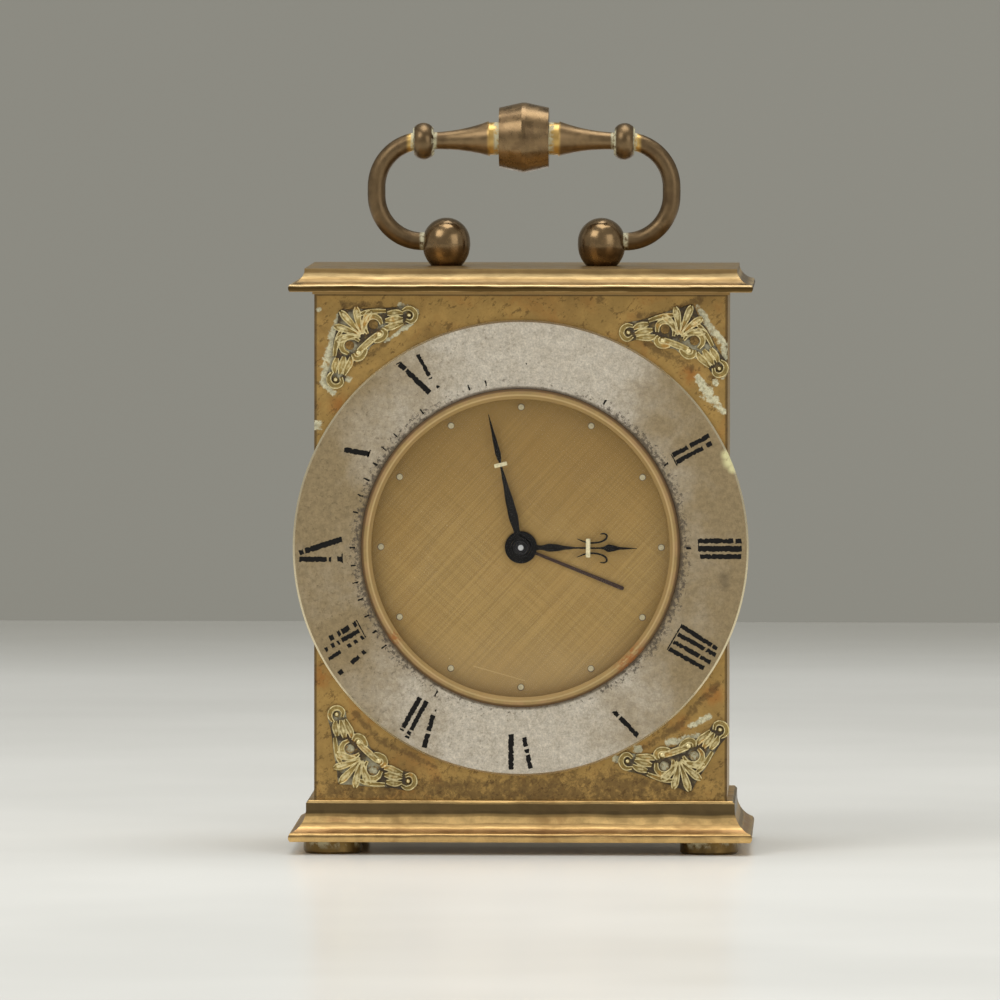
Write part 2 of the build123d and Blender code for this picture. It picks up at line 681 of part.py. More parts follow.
half_width = case_width / 2
half_depth = CASE_DEPTH / 2
foot_x = half_width + PLINTH_LIP_OVERHANG - FOOT_SIDE_INSET
foot_y = half_depth + PLINTH_LIP_OVERHANG - FOOT_SIDE_INSET
ball_x = BALL_SPACING / 2
plinth_screw_x = half_width - PLINTH_SCREW_SIDE_INSET
plinth_screw_y = half_depth - PLINTH_SCREW_END_INSET
plinth_screw_seat = plinth_bottom + PLINTH_SCREW_RECESS + PLINTH_SCREW_HEAD_HEIGHT
plinth_screw_tip = case_bottom + CASE_WALL + PLINTH_SCREW_REACH


def make_plinth():
    lip = PLINTH_LIP_OVERHANG
    rounded = lip - PLINTH_LIP_ROUND
    band_foot = PLINTH_HEIGHT - PLINTH_BAND_HEIGHT
    cove = hollow_arc((rounded, PLINTH_LIP_HEIGHT), (PLINTH_TOP_OVERHANG, band_foot))
    bevel_foot = (PLINTH_TOP_OVERHANG, PLINTH_HEIGHT - PLINTH_TOP_BEVEL)
    profile = [
        ((rounded, 0), (lip, PLINTH_LIP_HEIGHT / 2), (rounded, PLINTH_LIP_HEIGHT)),
        cove,
        (cove[2], bevel_foot),
        (bevel_foot, (PLINTH_TOP_OVERHANG - PLINTH_TOP_BEVEL, PLINTH_HEIGHT)),
    ]
    plinth = moulded_block(half_width, half_depth, profile, plinth_bottom)
    for sign_x, sign_y in corner_signs():
        stud_top = plinth_bottom + FOOT_STUD_LENGTH + END_PLAY
        stud_hole = FOOT_STUD_RADIUS + SCREW_CLEARANCE
        plinth -= upright(sign_x * foot_x, sign_y * foot_y, stud_hole, plinth_bottom - CUT_OVERRUN, stud_top)
        x, y = sign_x * plinth_screw_x, sign_y * plinth_screw_y
        shank = PLINTH_SCREW_RADIUS + SCREW_CLEARANCE
        plinth -= upright(x, y, shank, plinth_bottom - CUT_OVERRUN, case_bottom + CUT_OVERRUN)
        head = PLINTH_SCREW_HEAD_RADIUS + SLIP_CLEARANCE
        plinth -= upright(x, y, head, plinth_bottom - CUT_OVERRUN, plinth_screw_seat)
    return plinth


def make_feet():
    feet = []
    for sign_x, sign_y in corner_signs():
        x, y = sign_x * foot_x, sign_y * foot_y
        pad = upright(x, y, FOOT_RADIUS, 0, FOOT_HEIGHT)
        pad = chamfer(pad.edges().group_by(Axis.Z)[0], FOOT_EDGE)
        feet.append(pad + upright(x, y, FOOT_STUD_RADIUS, FOOT_HEIGHT, plinth_bottom + FOOT_STUD_LENGTH))
    return feet


def make_plinth_screws():
    screws = []
    for sign_x, sign_y in corner_signs():
        x, y = sign_x * plinth_screw_x, sign_y * plinth_screw_y
        head_bottom = plinth_screw_seat - PLINTH_SCREW_HEAD_HEIGHT
        body = upright(x, y, PLINTH_SCREW_RADIUS, plinth_screw_seat, plinth_screw_tip)
        body += upright(x, y, PLINTH_SCREW_HEAD_RADIUS, head_bottom, plinth_screw_seat)
        slot = Box(2 * PLINTH_SCREW_HEAD_RADIUS + CUT_OVERRUN, SLOT_WIDTH, 2 * SLOT_DEPTH)
        screws.append(body - Pos(x, y, head_bottom) * slot)
    return screws


def make_case_shell():
    middle = (0, (case_bottom + case_top) / 2)
    outside = slab(Pos(*middle) * Rectangle(case_width, case_height), panel_back, back_panel_front)
    inside_outline = Rectangle(case_width - 2 * CASE_WALL, case_height - 2 * CASE_WALL)
    inside = slab(Pos(*middle) * inside_outline, panel_back - CUT_OVERRUN, back_panel_front + CUT_OVERRUN)
    shell = outside - inside
    for sign_x, sign_y in corner_signs():
        shank = PLINTH_SCREW_RADIUS + SCREW_CLEARANCE
        x, y = sign_x * plinth_screw_x, sign_y * plinth_screw_y
        shell -= upright(x, y, shank, case_bottom - CUT_OVERRUN, case_bottom + CASE_WALL + CUT_OVERRUN)
    for sign_x in (-1, 1):
        stud = BALL_STUD_RADIUS + SCREW_CLEARANCE
        shell -= upright(sign_x * ball_x, 0, stud, case_top - CASE_WALL - CUT_OVERRUN, case_top + CUT_OVERRUN)
    return shell


corner_pillar_x = half_width - CASE_WALL - CORNER_PILLAR_GAP - CORNER_PILLAR_RADIUS
corner_pillar_rise = case_height / 2 - CASE_WALL - CORNER_PILLAR_GAP - CORNER_PILLAR_RADIUS
corner_pillar_places = [
    (sign_x * corner_pillar_x, dial_centre[1] + sign_z * corner_pillar_rise)
    for sign_x, sign_z in corner_signs()
]
back_screw_tip = back_panel_back - BACK_SCREW_LENGTH


def make_corner_pillars():
    pillars = []
    for at in corner_pillar_places:
        pillar = disc(at, CORNER_PILLAR_RADIUS, panel_back, back_panel_front)
        bore = BACK_SCREW_RADIUS + SCREW_CLEARANCE
        pillars.append(pillar - disc(at, bore, back_screw_tip - END_PLAY, back_panel_front + CUT_OVERRUN))
    return pillars


def make_back_screws():
    head = (BACK_SCREW_HEAD_RADIUS, BACK_SCREW_HEAD_HEIGHT)
    return [
        screw(at, BACK_SCREW_RADIUS, back_screw_tip, back_panel_back, *head) for at in corner_pillar_places
    ]


ring_pin_places = [
    polar(dial_centre, ring_pin_circle, 90 + pin * 360 / RING_PIN_COUNT) for pin in range(RING_PIN_COUNT)
]


def make_front_panel():
    panel = slab(Pos(*dial_centre) * Rectangle(case_width, case_height), panel_front, panel_back)
    panel -= hole(dial_centre, ring_inner_radius, panel_front, panel_back)
    for at in ring_pin_places:
        panel -= hole(at, RING_PIN_RADIUS + SCREW_CLEARANCE, panel_front, panel_back)
    for at in mount_screw_places:
        panel -= hole(at, SCREW_RADIUS + SCREW_CLEARANCE, panel_front, panel_back)
    return panel


def regulator_post_place(turn_degrees):
    """The place of the regulator's post when the regulator is turned."""
    return polar(balance_at, REGULATOR_REACH, REGULATOR_DEGREES + turn_degrees)


def make_back_panel():
    panel = slab(Pos(*dial_centre) * Rectangle(case_width, case_height), back_panel_front, back_panel_back)
    front, back = back_panel_front - CUT_OVERRUN, back_panel_back + CUT_OVERRUN
    for at in corner_pillar_places:
        panel -= disc(at, BACK_SCREW_RADIUS + SCREW_CLEARANCE, front, back)
    for at in (time_barrel_at, alarm_barrel_at):
        panel -= disc(at, WINDING_ARBOR_RADIUS + ARBOR_HOLE_GAP, front, back)
    for at in (hand_set_at, alarm_set_at):
        panel -= disc(at, SETTING_ARBOR_RADIUS + ARBOR_HOLE_GAP, front, back)
    panel -= disc(stop_at, STOP_ROD_RADIUS + STOP_CLEARANCE, front, back)
    panel -= disc(gong_at, GONG_TENON_RADIUS + SCREW_CLEARANCE, front, back)
    slot_radius = REGULATOR_POST_RADIUS + REGULATOR_SLOT_GAP
    for step in range(-REGULATOR_SLOT_STEPS, REGULATOR_SLOT_STEPS + 1):
        turn = step * REGULATOR_SWING_DEGREES / REGULATOR_SLOT_STEPS
        panel -= disc(regulator_post_place(turn), slot_radius, front, back)
    for row in range(SOUND_SLOTS):
        rise = SOUND_SLOT_PLACE_SHARE * case_height / 2 + (row - (SOUND_SLOTS - 1) / 2) * SOUND_SLOT_PITCH
        slot = Pos(dial_centre[0], dial_centre[1] - rise) * SlotOverall(SOUND_SLOT_LENGTH, SOUND_SLOT_WIDTH)
        panel -= slab(slot, front, back)
    return panel


def make_cornice():
    lip_foot = CORNICE_BEAD_HEIGHT
    lip_top = lip_foot + CORNICE_LIP_HEIGHT
    lip = CORNICE_LIP_OVERHANG
    rounded = lip - CORNICE_LIP_ROUND
    band_foot = CORNICE_HEIGHT - CORNICE_TOP_BAND_HEIGHT
    cove = hollow_arc((rounded, lip_top), (CORNICE_TOP_OVERHANG, band_foot))
    profile = [
        ((CORNICE_BEAD_OVERHANG, 0), (CORNICE_BEAD_OVERHANG, lip_foot)),
        ((CORNICE_BEAD_OVERHANG, lip_foot), (rounded, lip_foot)),
        ((rounded, lip_foot), (lip, (lip_foot + lip_top) / 2), (rounded, lip_top)),
        cove,
        (cove[2], (CORNICE_TOP_OVERHANG, CORNICE_HEIGHT)),
    ]
    cornice = moulded_block(half_width, half_depth, profile, case_top)
    for sign_x in (-1, 1):
        stud = BALL_STUD_RADIUS + SCREW_CLEARANCE
        cornice -= upright(sign_x * ball_x, 0, stud, case_top - CUT_OVERRUN, cornice_top + CUT_OVERRUN)
    return cornice


stud_tip = case_top - CASE_WALL - BALL_STUD_REACH


def lying(radius, start, end, height):
    """A round bar along X at the handle's depth."""
    return Pos((start + end) / 2, 0, height) * Rot(0, 90, 0) * Cylinder(radius, end - start)


socket_floor = ball_x + BALL_RADIUS - ARM_SOCKET_DEPTH
pin_floor = socket_floor - ARM_PIN_DEPTH


def ball_blank():
    """The ball of a handle post, round above and fuller below, on a flat foot."""
    corner_share = math.sqrt(0.5)
    foot = (BALL_FOOT_RADIUS, -BALL_HEIGHT)
    fullest = (BALL_RADIUS * BALL_FULLNESS_SHARES[0], -BALL_HEIGHT * BALL_FULLNESS_SHARES[1])
    side = (BALL_RADIUS, 0)
    outline = make_face(
        [
            Line((0, -BALL_HEIGHT), foot),
            ThreePointArc(foot, fullest, side),
            ThreePointArc(side, (BALL_RADIUS * corner_share, BALL_RADIUS * corner_share), (0, BALL_RADIUS)),
            Line((0, BALL_RADIUS), (0, -BALL_HEIGHT)),
        ]
    )
    return Pos(ball_x, 0, pivot_height) * revolve(Plane.XZ * outline, Axis.Z)


def make_handle_posts():
    posts = []
    for sign in (-1, 1):
        ball = ball_blank()
        ball += upright(ball_x, 0, BALL_STUD_RADIUS, stud_tip, cornice_top)
        outside = ball_x + BALL_RADIUS + CUT_OVERRUN
        ball -= lying(ARM_RADIUS + SLIP_CLEARANCE, socket_floor, outside, pivot_height)
        ball -= lying(ARM_PIN_RADIUS + PIVOT_CLEARANCE, pin_floor, outside, pivot_height)
        posts.append(ball if sign > 0 else mirror(ball, Plane.YZ))
    return posts


def make_post_nuts():
    nuts = []
    for sign in (-1, 1):
        top = case_top - CASE_WALL
        outline = RegularPolygon(BALL_NUT_RADIUS, 6) - Circle(BALL_STUD_RADIUS + SCREW_CLEARANCE)
        nuts.append(Pos(sign * ball_x, 0, top - BALL_NUT_HEIGHT) * extrude(outline, amount=BALL_NUT_HEIGHT))
    return nuts


# Handle bar: each half runs out from the grip's middle, a little downwards
bend_start = ball_x + BALL_RADIUS
collar_outer_end = COLLAR_PLACE + COLLAR_WIDTH / 2
collar_inner_end = COLLAR_PLACE - COLLAR_WIDTH / 2
tilt = math.radians(HANDLE_TILT_DEGREES)
bend_end_x = collar_outer_end * math.cos(tilt)
bend_end_degrees = math.degrees(math.asin((bend_end_x - bend_start) / ARM_BEND_RADIUS))
upper_bend_height = pivot_height + ARM_BEND_RADIUS + ARM_STRAIGHT
bend_end_height = upper_bend_height + ARM_BEND_RADIUS * math.cos(math.radians(bend_end_degrees))
grip_height = bend_end_height + collar_outer_end * math.sin(tilt)
handle_top = grip_height + GRIP_RADIUS


def along_bar(profile):
    """A turned piece of the right half of the bar, from points of distance along it and radius."""
    face = make_face(Polyline(*profile, close=True))
    return place_on_bar(revolve(Plane.XZ * face, Axis.X))


def place_on_bar(piece):
    """Tilts a piece made along X and puts it at the grip."""
    return Pos(0, 0, grip_height) * Rot(0, HANDLE_TILT_DEGREES, 0) * piece


def both_sides(piece):
    """The piece and its mirror image on the left."""
    return [mirror(piece, Plane.YZ), piece]


def make_collar():
    bore = SPIGOT_RADIUS + SCREW_CLEARANCE
    outer = (collar_outer_end, COLLAR_EDGE_RADIUS)
    inner = (collar_inner_end, COLLAR_EDGE_RADIUS)
    outline = make_face(
        [
            Line((collar_inner_end, bore), (collar_outer_end, bore)),
            Line((collar_outer_end, bore), outer),
            ThreePointArc(outer, (COLLAR_PLACE, COLLAR_RADIUS), inner),
            Line(inner, (collar_inner_end, bore)),
        ]
    )
    return place_on_bar(revolve(Plane.XZ * outline, Axis.X))


def make_sleeve():
    bore = SPIGOT_RADIUS + SCREW_CLEARANCE
    neck_end = GRIP_HALF_LENGTH + SLEEVE_NECK_LENGTH
    length = collar_inner_end - neck_end
    waist_at = collar_inner_end - SLEEVE_WAIST_SHARES[0] * length
    spread = SLEEVE_LARGE_RADIUS - SLEEVE_SMALL_RADIUS
    waist_radius = SLEEVE_SMALL_RADIUS + (1 - SLEEVE_WAIST_SHARES[1]) * spread
    thin_end = (collar_inner_end, SLEEVE_SMALL_RADIUS)
    thick_end = (neck_end, SLEEVE_LARGE_RADIUS)
    outline = make_face(
        [
            Line((GRIP_HALF_LENGTH, bore), (collar_inner_end, bore)),
            Line((collar_inner_end, bore), thin_end),
            ThreePointArc(thin_end, (waist_at, waist_radius), thick_end),
            Line(thick_end, (neck_end, SLEEVE_NECK_RADIUS)),
            Line((neck_end, SLEEVE_NECK_RADIUS), (GRIP_HALF_LENGTH, SLEEVE_NECK_RADIUS)),
            Line((GRIP_HALF_LENGTH, SLEEVE_NECK_RADIUS), (GRIP_HALF_LENGTH, bore)),
        ]
    )
    sleeve = place_on_bar(revolve(Plane.XZ * outline, Axis.X))
    return sleeve - grip_blank()


def grip_blank():
    """The barrel grip before it is bored."""
    half = [
        (GRIP_HALF_LENGTH, GRIP_END_RADIUS), (GRIP_RIDGE_HALF_WIDTH, GRIP_RADIUS)
    ]
    points = [(-GRIP_HALF_LENGTH, 0), (GRIP_HALF_LENGTH, 0), *half]
    points += [(-x, radius) for x, radius in reversed(half)]
    face = make_face(Polyline(*points, close=True))
    return Pos(0, 0, grip_height) * revolve(Plane.XZ * face, Axis.X)


spigot_tip = GRIP_HALF_LENGTH - SPIGOT_GRIP_DEPTH


def make_grip():
    bore = lying(SPIGOT_RADIUS + SCREW_CLEARANCE, spigot_tip - END_PLAY, COLLAR_PLACE, 0)
    grip = grip_blank()
    for cutter in both_sides(place_on_bar(bore)):
        grip -= cutter
    return grip


def make_arm(collar):
    """The bent arm on the right: pin, socket end, bend, straight, upper bend and spigot."""
    seat = socket_floor + END_PLAY
    upper_centre = (bend_start, upper_bend_height)
    path = Wire(
        [
            Line((seat, pivot_height), (bend_start, pivot_height)),
            CenterArc((bend_start, pivot_height + ARM_BEND_RADIUS), ARM_BEND_RADIUS, -90, 90),
            Line(
                (bend_start + ARM_BEND_RADIUS, pivot_height + ARM_BEND_RADIUS),
                (bend_start + ARM_BEND_RADIUS, upper_bend_height),
            ),
            CenterArc(upper_centre, ARM_BEND_RADIUS, 0, 90 - bend_end_degrees),
        ]
    )
    section = Plane(origin=(seat, 0, pivot_height), z_dir=(1, 0, 0)) * Circle(ARM_RADIUS)
    rod = sweep(section, path=Plane.XZ * path)
    rod += Pos(bend_end_x, 0, bend_end_height) * Sphere(ARM_RADIUS)
    rod += lying(ARM_PIN_RADIUS, pin_floor + END_PLAY, seat, pivot_height)
    spigot = lying(SPIGOT_RADIUS, spigot_tip, collar_outer_end, 0)
    return rod - collar + place_on_bar(spigot)


def make_chapter_ring():
    plate = ring(dial_centre, RING_OUTER_RADIUS, ring_inner_radius, ring_front, panel_front)
    outer_edge = plate.edges().filter_by(GeomType.CIRCLE).sort_by(SortBy.RADIUS)[-2:].sort_by(Axis.Y)[0]
    plate = chamfer(outer_edge, RING_EDGE)
    for at in ring_pin_places:
        plate += disc(at, RING_PIN_RADIUS, panel_front, panel_back)
    return plate


def turned(profile):
    """A piece turned about the dial's axis, from points of radius and depth."""
    points = [(radius, depth) for radius, depth in profile]
    face = make_face(Polyline(*points, close=True))
    return Pos(*(dial_centre[0], 0, dial_centre[1])) * revolve(Plane.XY * face, Axis.Y)


def make_bezel():
    outer = ring_inner_radius - BEZEL_CLEARANCE
    seat = crystal_radius + SLIP_CLEARANCE
    return turned(
        [
            (bezel_opening, crystal_front),
            (bezel_opening, bezel_front + BEZEL_SLOPE),
            (bezel_opening + BEZEL_SLOPE, bezel_front),
            (outer - BEZEL_SLOPE, bezel_front),
            (outer, bezel_front + BEZEL_SLOPE),
            (outer, panel_back),
            (bezel_flange_radius, panel_back),
            (bezel_flange_radius, bezel_back),
            (seat, bezel_back),
            (seat, crystal_front),
        ]
    )


def make_crystal():
    """A flat rim under the bezel's lip with a shallow dome in the bezel's opening."""
    dome_edge = bezel_opening - SLIP_CLEARANCE
    dome_top = crystal_front - CRYSTAL_RISE
    dome_radius = (dome_edge**2 + CRYSTAL_RISE**2) / (2 * CRYSTAL_RISE)
    ball = Pos(dial_centre[0], dome_top + dome_radius, dial_centre[1]) * Rot(90, 0, 0) * Sphere(dome_radius)
    dome = disc(dial_centre, dome_edge, dome_top - CUT_OVERRUN, crystal_back) & ball
    rim = disc(dial_centre, crystal_radius, crystal_front, crystal_back)
    return rim + dome - Pos(0, CRYSTAL_THICKNESS, 0) * ball


def make_dial():
    return ring(dial_centre, dial_radius, DIAL_HOLE_RADIUS, dial_front, dial_back)


def make_hour_dots():
    places = [polar(dial_centre, dot_circle, 90 - hour * 360 / HOURS) for hour in range(HOURS)]
    return [disc(at, DOT_RADIUS, dial_front - DOT_HEIGHT, dial_front) for at in places]


def ornament_outline():
    """One scroll ornament in its own corner: both legs start at zero and run along plus x and plus y."""
    leg = ornament_leg
    solid = Sketch()
    holes = []
    fan_place_share, petal_reach_share, petal_share = ORNAMENT_FAN_SHARES
    fan_at = (fan_place_share * leg, fan_place_share * leg)
    for petal in range(ORNAMENT_FAN_COUNT):
        turn = (petal - (ORNAMENT_FAN_COUNT - 1) / 2) * ORNAMENT_FAN_STEP_DEGREES
        tip = polar(fan_at, petal_reach_share * leg, 225 + turn)
        middle = ((fan_at[0] + tip[0]) / 2, (fan_at[1] + tip[1]) / 2)
        rib = SlotCenterToCenter(petal_reach_share * leg, 2 * petal_share * leg)
        solid += Pos(*middle) * Rot(0, 0, 225 + turn) * rib
    bar_length_share, bar_width_share = ORNAMENT_BAR_SHARES
    solid += Pos(*fan_at) * Rot(0, 0, 135) * SlotCenterToCenter(bar_length_share * leg, bar_width_share * leg)
    for along, across, outer, hole in ORNAMENT_SCROLL_SHARES:
        for place in ((along * leg, across * leg), (across * leg, along * leg)):
            solid += Pos(*place) * Circle(outer * leg)
            if hole:
                holes.append(Pos(*place) * Circle(hole * leg))
    for hole in holes:
        solid -= hole
    return solid


def make_ornament(name):
    """The ornament turned into its corner about the foot of its fan, and kept clear of the chapter ring."""
    side_x = -1 if name.endswith("left") else 1
    side_z = 1 if name.startswith("top") else -1
    quarter = {(-1, -1): 0, (1, -1): 90, (1, 1): 180, (-1, 1): 270}[(side_x, side_z)]
    place = (
        dial_centre[0] + side_x * (half_width - ORNAMENT_SIDE_SHARE * corner_room),
        dial_centre[1] + side_z * (case_height / 2 - ORNAMENT_END_SHARE * corner_room),
    )
    fan_foot = ORNAMENT_FAN_SHARES[0] * ornament_leg
    centred = Pos(-fan_foot, -fan_foot) * ornament_outline()
    turned_outline = Pos(*place) * Rot(0, 0, quarter + ORNAMENT_TURNS_DEGREES[name]) * centred
    casting = slab(turned_outline, panel_front - ORNAMENT_THICKNESS, panel_front)
    clear = disc(dial_centre, RING_OUTER_RADIUS + ORNAMENT_CLEARANCE, ring_front - CUT_OVERRUN, panel_back)
    return casting - clear


def hand_outline(length, width, shares):
    """A hand that points up from zero, from its half outline."""
    right = [(width / 2 * across, length * along) for along, across in shares]
    left = [(-x, y) for x, y in reversed(right)]
    return make_face(Polyline(*right, *left, close=True))


def place_hand(outline, clock_degrees, back):
    """Turns a hand to its place on the dial, clockwise from twelve."""
    return slab(Pos(*dial_centre) * Rot(0, 0, -clock_degrees) * outline, back - HAND_THICKNESS, back)


def hand_with_hub(outline, clock_degrees, back, hub_radius, bore):
    hand = place_hand(outline + Circle(hub_radius), clock_degrees, back)
    return hand - disc(dial_centre, bore, back - HAND_THICKNESS - CUT_OVERRUN, back + CUT_OVERRUN)


def lume_bar(length, hand_length, place_share):
    return Pos(0, hand_length * place_share) * Rectangle(length, lume_bar_width)


def make_minute_hand():
    outline = hand_outline(minute_length, minute_width, MINUTE_OUTLINE_SHARES)
    outline += lume_bar(minute_lume_length, minute_length, MINUTE_LUME_PLACE_SHARE)
    bore = CANNON_PIPE_RADIUS + SCREW_CLEARANCE
    return hand_with_hub(outline, MINUTE_DEGREES, minute_hand_back, MINUTE_HUB_RADIUS, bore)


def make_hour_hand():
    outline = hand_outline(hour_length, hour_width, HOUR_OUTLINE_SHARES)
    outline += lume_bar(hour_lume_length, hour_length, HOUR_LUME_PLACE_SHARE)
    place = HOUR_BARB_PLACE_SHARE * hour_length
    barb_span = 2 * hour_barb_radius
    for side in (-1, 1):
        barb = Circle(hour_barb_radius) - Circle(hour_barb_radius - hour_barb_width)
        quarter = Pos(side * hour_barb_radius, hour_barb_radius) * Rectangle(barb_span, barb_span)
        outline += Pos(side * hour_barb_radius, place) * (barb - quarter)
    bore = HOUR_PIPE_RADIUS + SCREW_CLEARANCE
    return hand_with_hub(outline, HOUR_DEGREES, hour_hand_back, HAND_HUB_RADIUS, bore)


def make_alarm_hand():
    outline = Pos(0, alarm_length / 2) * Rectangle(alarm_width, alarm_length)
    bore = ALARM_PIPE_RADIUS + SCREW_CLEARANCE
    return hand_with_hub(outline, ALARM_DEGREES, alarm_hand_back, HAND_HUB_RADIUS, bore)


# Motion work, counted forwards from the front plate
def motion_span(space_share):
    """The front and back of a wheel between the dial and the front plate."""
    back = plate_front - space_share * MOTION_SPACE
    return back - WHEEL_THICKNESS, back


def motion_pinion_span(space_share):
    front, back = motion_span(space_share)
    return front - PINION_OVERHANG, back + PINION_OVERHANG


cannon_phase = direction(dial_centre, minute_wheel_at)
minute_wheel_phase = meshing_phase(
    dial_centre, CANNON_TEETH, cannon_phase, minute_wheel_at, MINUTE_WHEEL_TEETH
)
set_pinion_phase = meshing_phase(
    minute_wheel_at, MINUTE_WHEEL_TEETH, minute_wheel_phase, hand_set_at, SET_PINION_TEETH
)
minute_pinion_phase = direction(minute_wheel_at, dial_centre)
hour_wheel_phase = meshing_phase(
    minute_wheel_at, MINUTE_PINION_TEETH, minute_pinion_phase, dial_centre, HOUR_WHEEL_TEETH
)
alarm_wheel_phase = direction(dial_centre, alarm_set_at)
alarm_pinion_phase = meshing_phase(
    dial_centre, ALARM_WHEEL_TEETH, alarm_wheel_phase, alarm_set_at, ALARM_PINION_TEETH
)


def make_cannon_pinion():
    front, back = motion_pinion_span(MINUTE_LEVEL_SHARE)
    pinion = gear(dial_centre, CANNON_TEETH, MINUTE_MODULE, cannon_phase, front, back)
    pinion += disc(dial_centre, CANNON_PIPE_RADIUS, minute_hand_back - HAND_THICKNESS - PIPE_STEP, back)
    bore = CENTRE_ARBOR_RADIUS + SCREW_CLEARANCE
    return pinion - disc(dial_centre, bore, minute_hand_back - MOTION_SPACE, back + CUT_OVERRUN)


def make_minute_wheel():
    front, back = motion_span(MINUTE_LEVEL_SHARE)
    wheel = gear(minute_wheel_at, MINUTE_WHEEL_TEETH, MINUTE_MODULE, minute_wheel_phase, front, back)
    pinion_front, pinion_back = motion_pinion_span(HOUR_LEVEL_SHARE)
    wheel += gear(minute_wheel_at, MINUTE_PINION_TEETH, hour_module, minute_pinion_phase, pinion_front, front)
    return wheel - hole(minute_wheel_at, MINUTE_STUD_RADIUS + PIVOT_CLEARANCE, pinion_front, back)


def make_hour_wheel():
    front, back = motion_span(HOUR_LEVEL_SHARE)
    wheel = gear(dial_centre, HOUR_WHEEL_TEETH, hour_module, hour_wheel_phase, front, back)
    wheel += disc(dial_centre, HOUR_PIPE_RADIUS, hour_hand_back - HAND_THICKNESS - PIPE_STEP, back)
    bore = CANNON_PIPE_RADIUS + PIPE_CLEARANCE
    return wheel - hole(dial_centre, bore, minute_hand_back, back)


def make_alarm_wheel():
    front, back = motion_span(ALARM_WHEEL_LEVEL_SHARE)
    wheel = spoked_gear(dial_centre, ALARM_WHEEL_TEETH, ALARM_MODULE, alarm_wheel_phase, front, back)
    wheel += disc(dial_centre, ALARM_PIPE_RADIUS, alarm_hand_back - HAND_THICKNESS - PIPE_STEP, back)
    bore = HOUR_PIPE_RADIUS + PIPE_CLEARANCE
    return wheel - hole(dial_centre, bore, minute_hand_back, back)


knob_front = back_panel_back + KEY_STANDOFF
knob_back = knob_front + KNOB_LENGTH


def setting_arbor(at, teeth, module, phase, space_share):
    """An arbor from the motion work through both plates and the back panel to its knob."""
    front, back = motion_pinion_span(space_share)
    shaft = disc(at, SETTING_ARBOR_RADIUS, back, knob_back - KNOB_CROWN)
    return shaft + gear(at, teeth, module, phase, front, back)


def make_hand_setting_arbor():
    return setting_arbor(hand_set_at, SET_PINION_TEETH, MINUTE_MODULE, set_pinion_phase, MINUTE_LEVEL_SHARE)


def make_alarm_setting_arbor():
    return setting_arbor(
        alarm_set_at, ALARM_PINION_TEETH, ALARM_MODULE, alarm_pinion_phase, ALARM_WHEEL_LEVEL_SHARE
    )


def make_knob(at):
    """A fluted knob with a crowned back, bored for its arbor."""
    outline = star_outline(at, KNOB_FLUTES, KNOB_RADIUS, KNOB_RADIUS - KNOB_FLUTE_DEPTH, KNOB_LEAN_SHARE, 0)
    knob = slab(outline, knob_front, knob_back - KNOB_CROWN)
    knob += disc(at, KNOB_RADIUS - KNOB_FLUTE_DEPTH - KNOB_CROWN, knob_back - KNOB_CROWN, knob_back)
    bore = SETTING_ARBOR_RADIUS + SCREW_CLEARANCE
    return knob - disc(at, bore, knob_front - CUT_OVERRUN, knob_back - KNOB_CROWN)


# Movement frame
def plate_with_holes(front, back):
    """A movement plate with the pivot holes that both plates share."""
    plate = disc(dial_centre, plate_radius, front, back)
    small = [intermediate_at, third_at, fourth_at, escape_at, pallet_at, star_at]
    cutters = pivot_holes(PIVOT_RADIUS, small, front, back)
    cutters += pivot_holes(WINDING_ARBOR_RADIUS, [time_barrel_at, alarm_barrel_at], front, back)
    cutters += pivot_holes(SETTING_ARBOR_RADIUS, [hand_set_at, alarm_set_at], front, back)
    cutters += pivot_holes(HAMMER_ARBOR_RADIUS, [hammer_at], front, back)
    for cutter in cutters:
        plate -= cutter
    return plate


def make_front_plate():
    plate = plate_with_holes(plate_front, gap_front)
    for cutter in pivot_holes(CENTRE_ARBOR_RADIUS, [dial_centre], plate_front, gap_front):
        plate -= cutter
    for cutter in pivot_holes(PIVOT_RADIUS, [balance_at], plate_front, gap_front):
        plate -= cutter
    for at in pillar_places:
        plate -= hole(at, PILLAR_SPIGOT_RADIUS + SCREW_CLEARANCE, plate_front, gap_front)
    for at in plate_screw_places:
        plate -= hole(at, SCREW_RADIUS + SCREW_CLEARANCE, plate_front, gap_front)
    pinion_front = motion_pinion_span(HOUR_LEVEL_SHARE)[0]
    return plate + disc(minute_wheel_at, MINUTE_STUD_RADIUS, pinion_front, plate_front)


def make_back_plate():
    plate = plate_with_holes(gap_back, plate_back)
    front, back = gap_back - CUT_OVERRUN, plate_back + CUT_OVERRUN
    for cutter in pivot_holes(PIVOT_RADIUS, [dial_centre], gap_back, plate_back):
        plate -= cutter
    plate -= disc(balance_at, COCK_OPENING_RADIUS, front, back)
    for at in pillar_places:
        plate -= disc(at, SCREW_RADIUS + SCREW_CLEARANCE, front, back)
    plate -= disc(cock_foot_at, SCREW_RADIUS + SCREW_CLEARANCE, front, back)
    for at in (time_barrel_at, alarm_barrel_at):
        plate -= disc(click_place(at), CLICK_PIN_RADIUS + PIVOT_CLEARANCE, front, back)
    return plate


def make_plate_pillars():
    pillars = []
    for at in pillar_places:
        pillar = disc(at, PILLAR_RADIUS, gap_front, gap_back)
        pillar += disc(at, PILLAR_SPIGOT_RADIUS, plate_front, gap_front)
        bore = SCREW_RADIUS + SCREW_CLEARANCE
        pillars.append(pillar - disc(at, bore, gap_back - SCREW_BITE - END_PLAY, gap_back + CUT_OVERRUN))
    return pillars


mount_flange_back = panel_back + MOUNT_FLANGE_THICKNESS


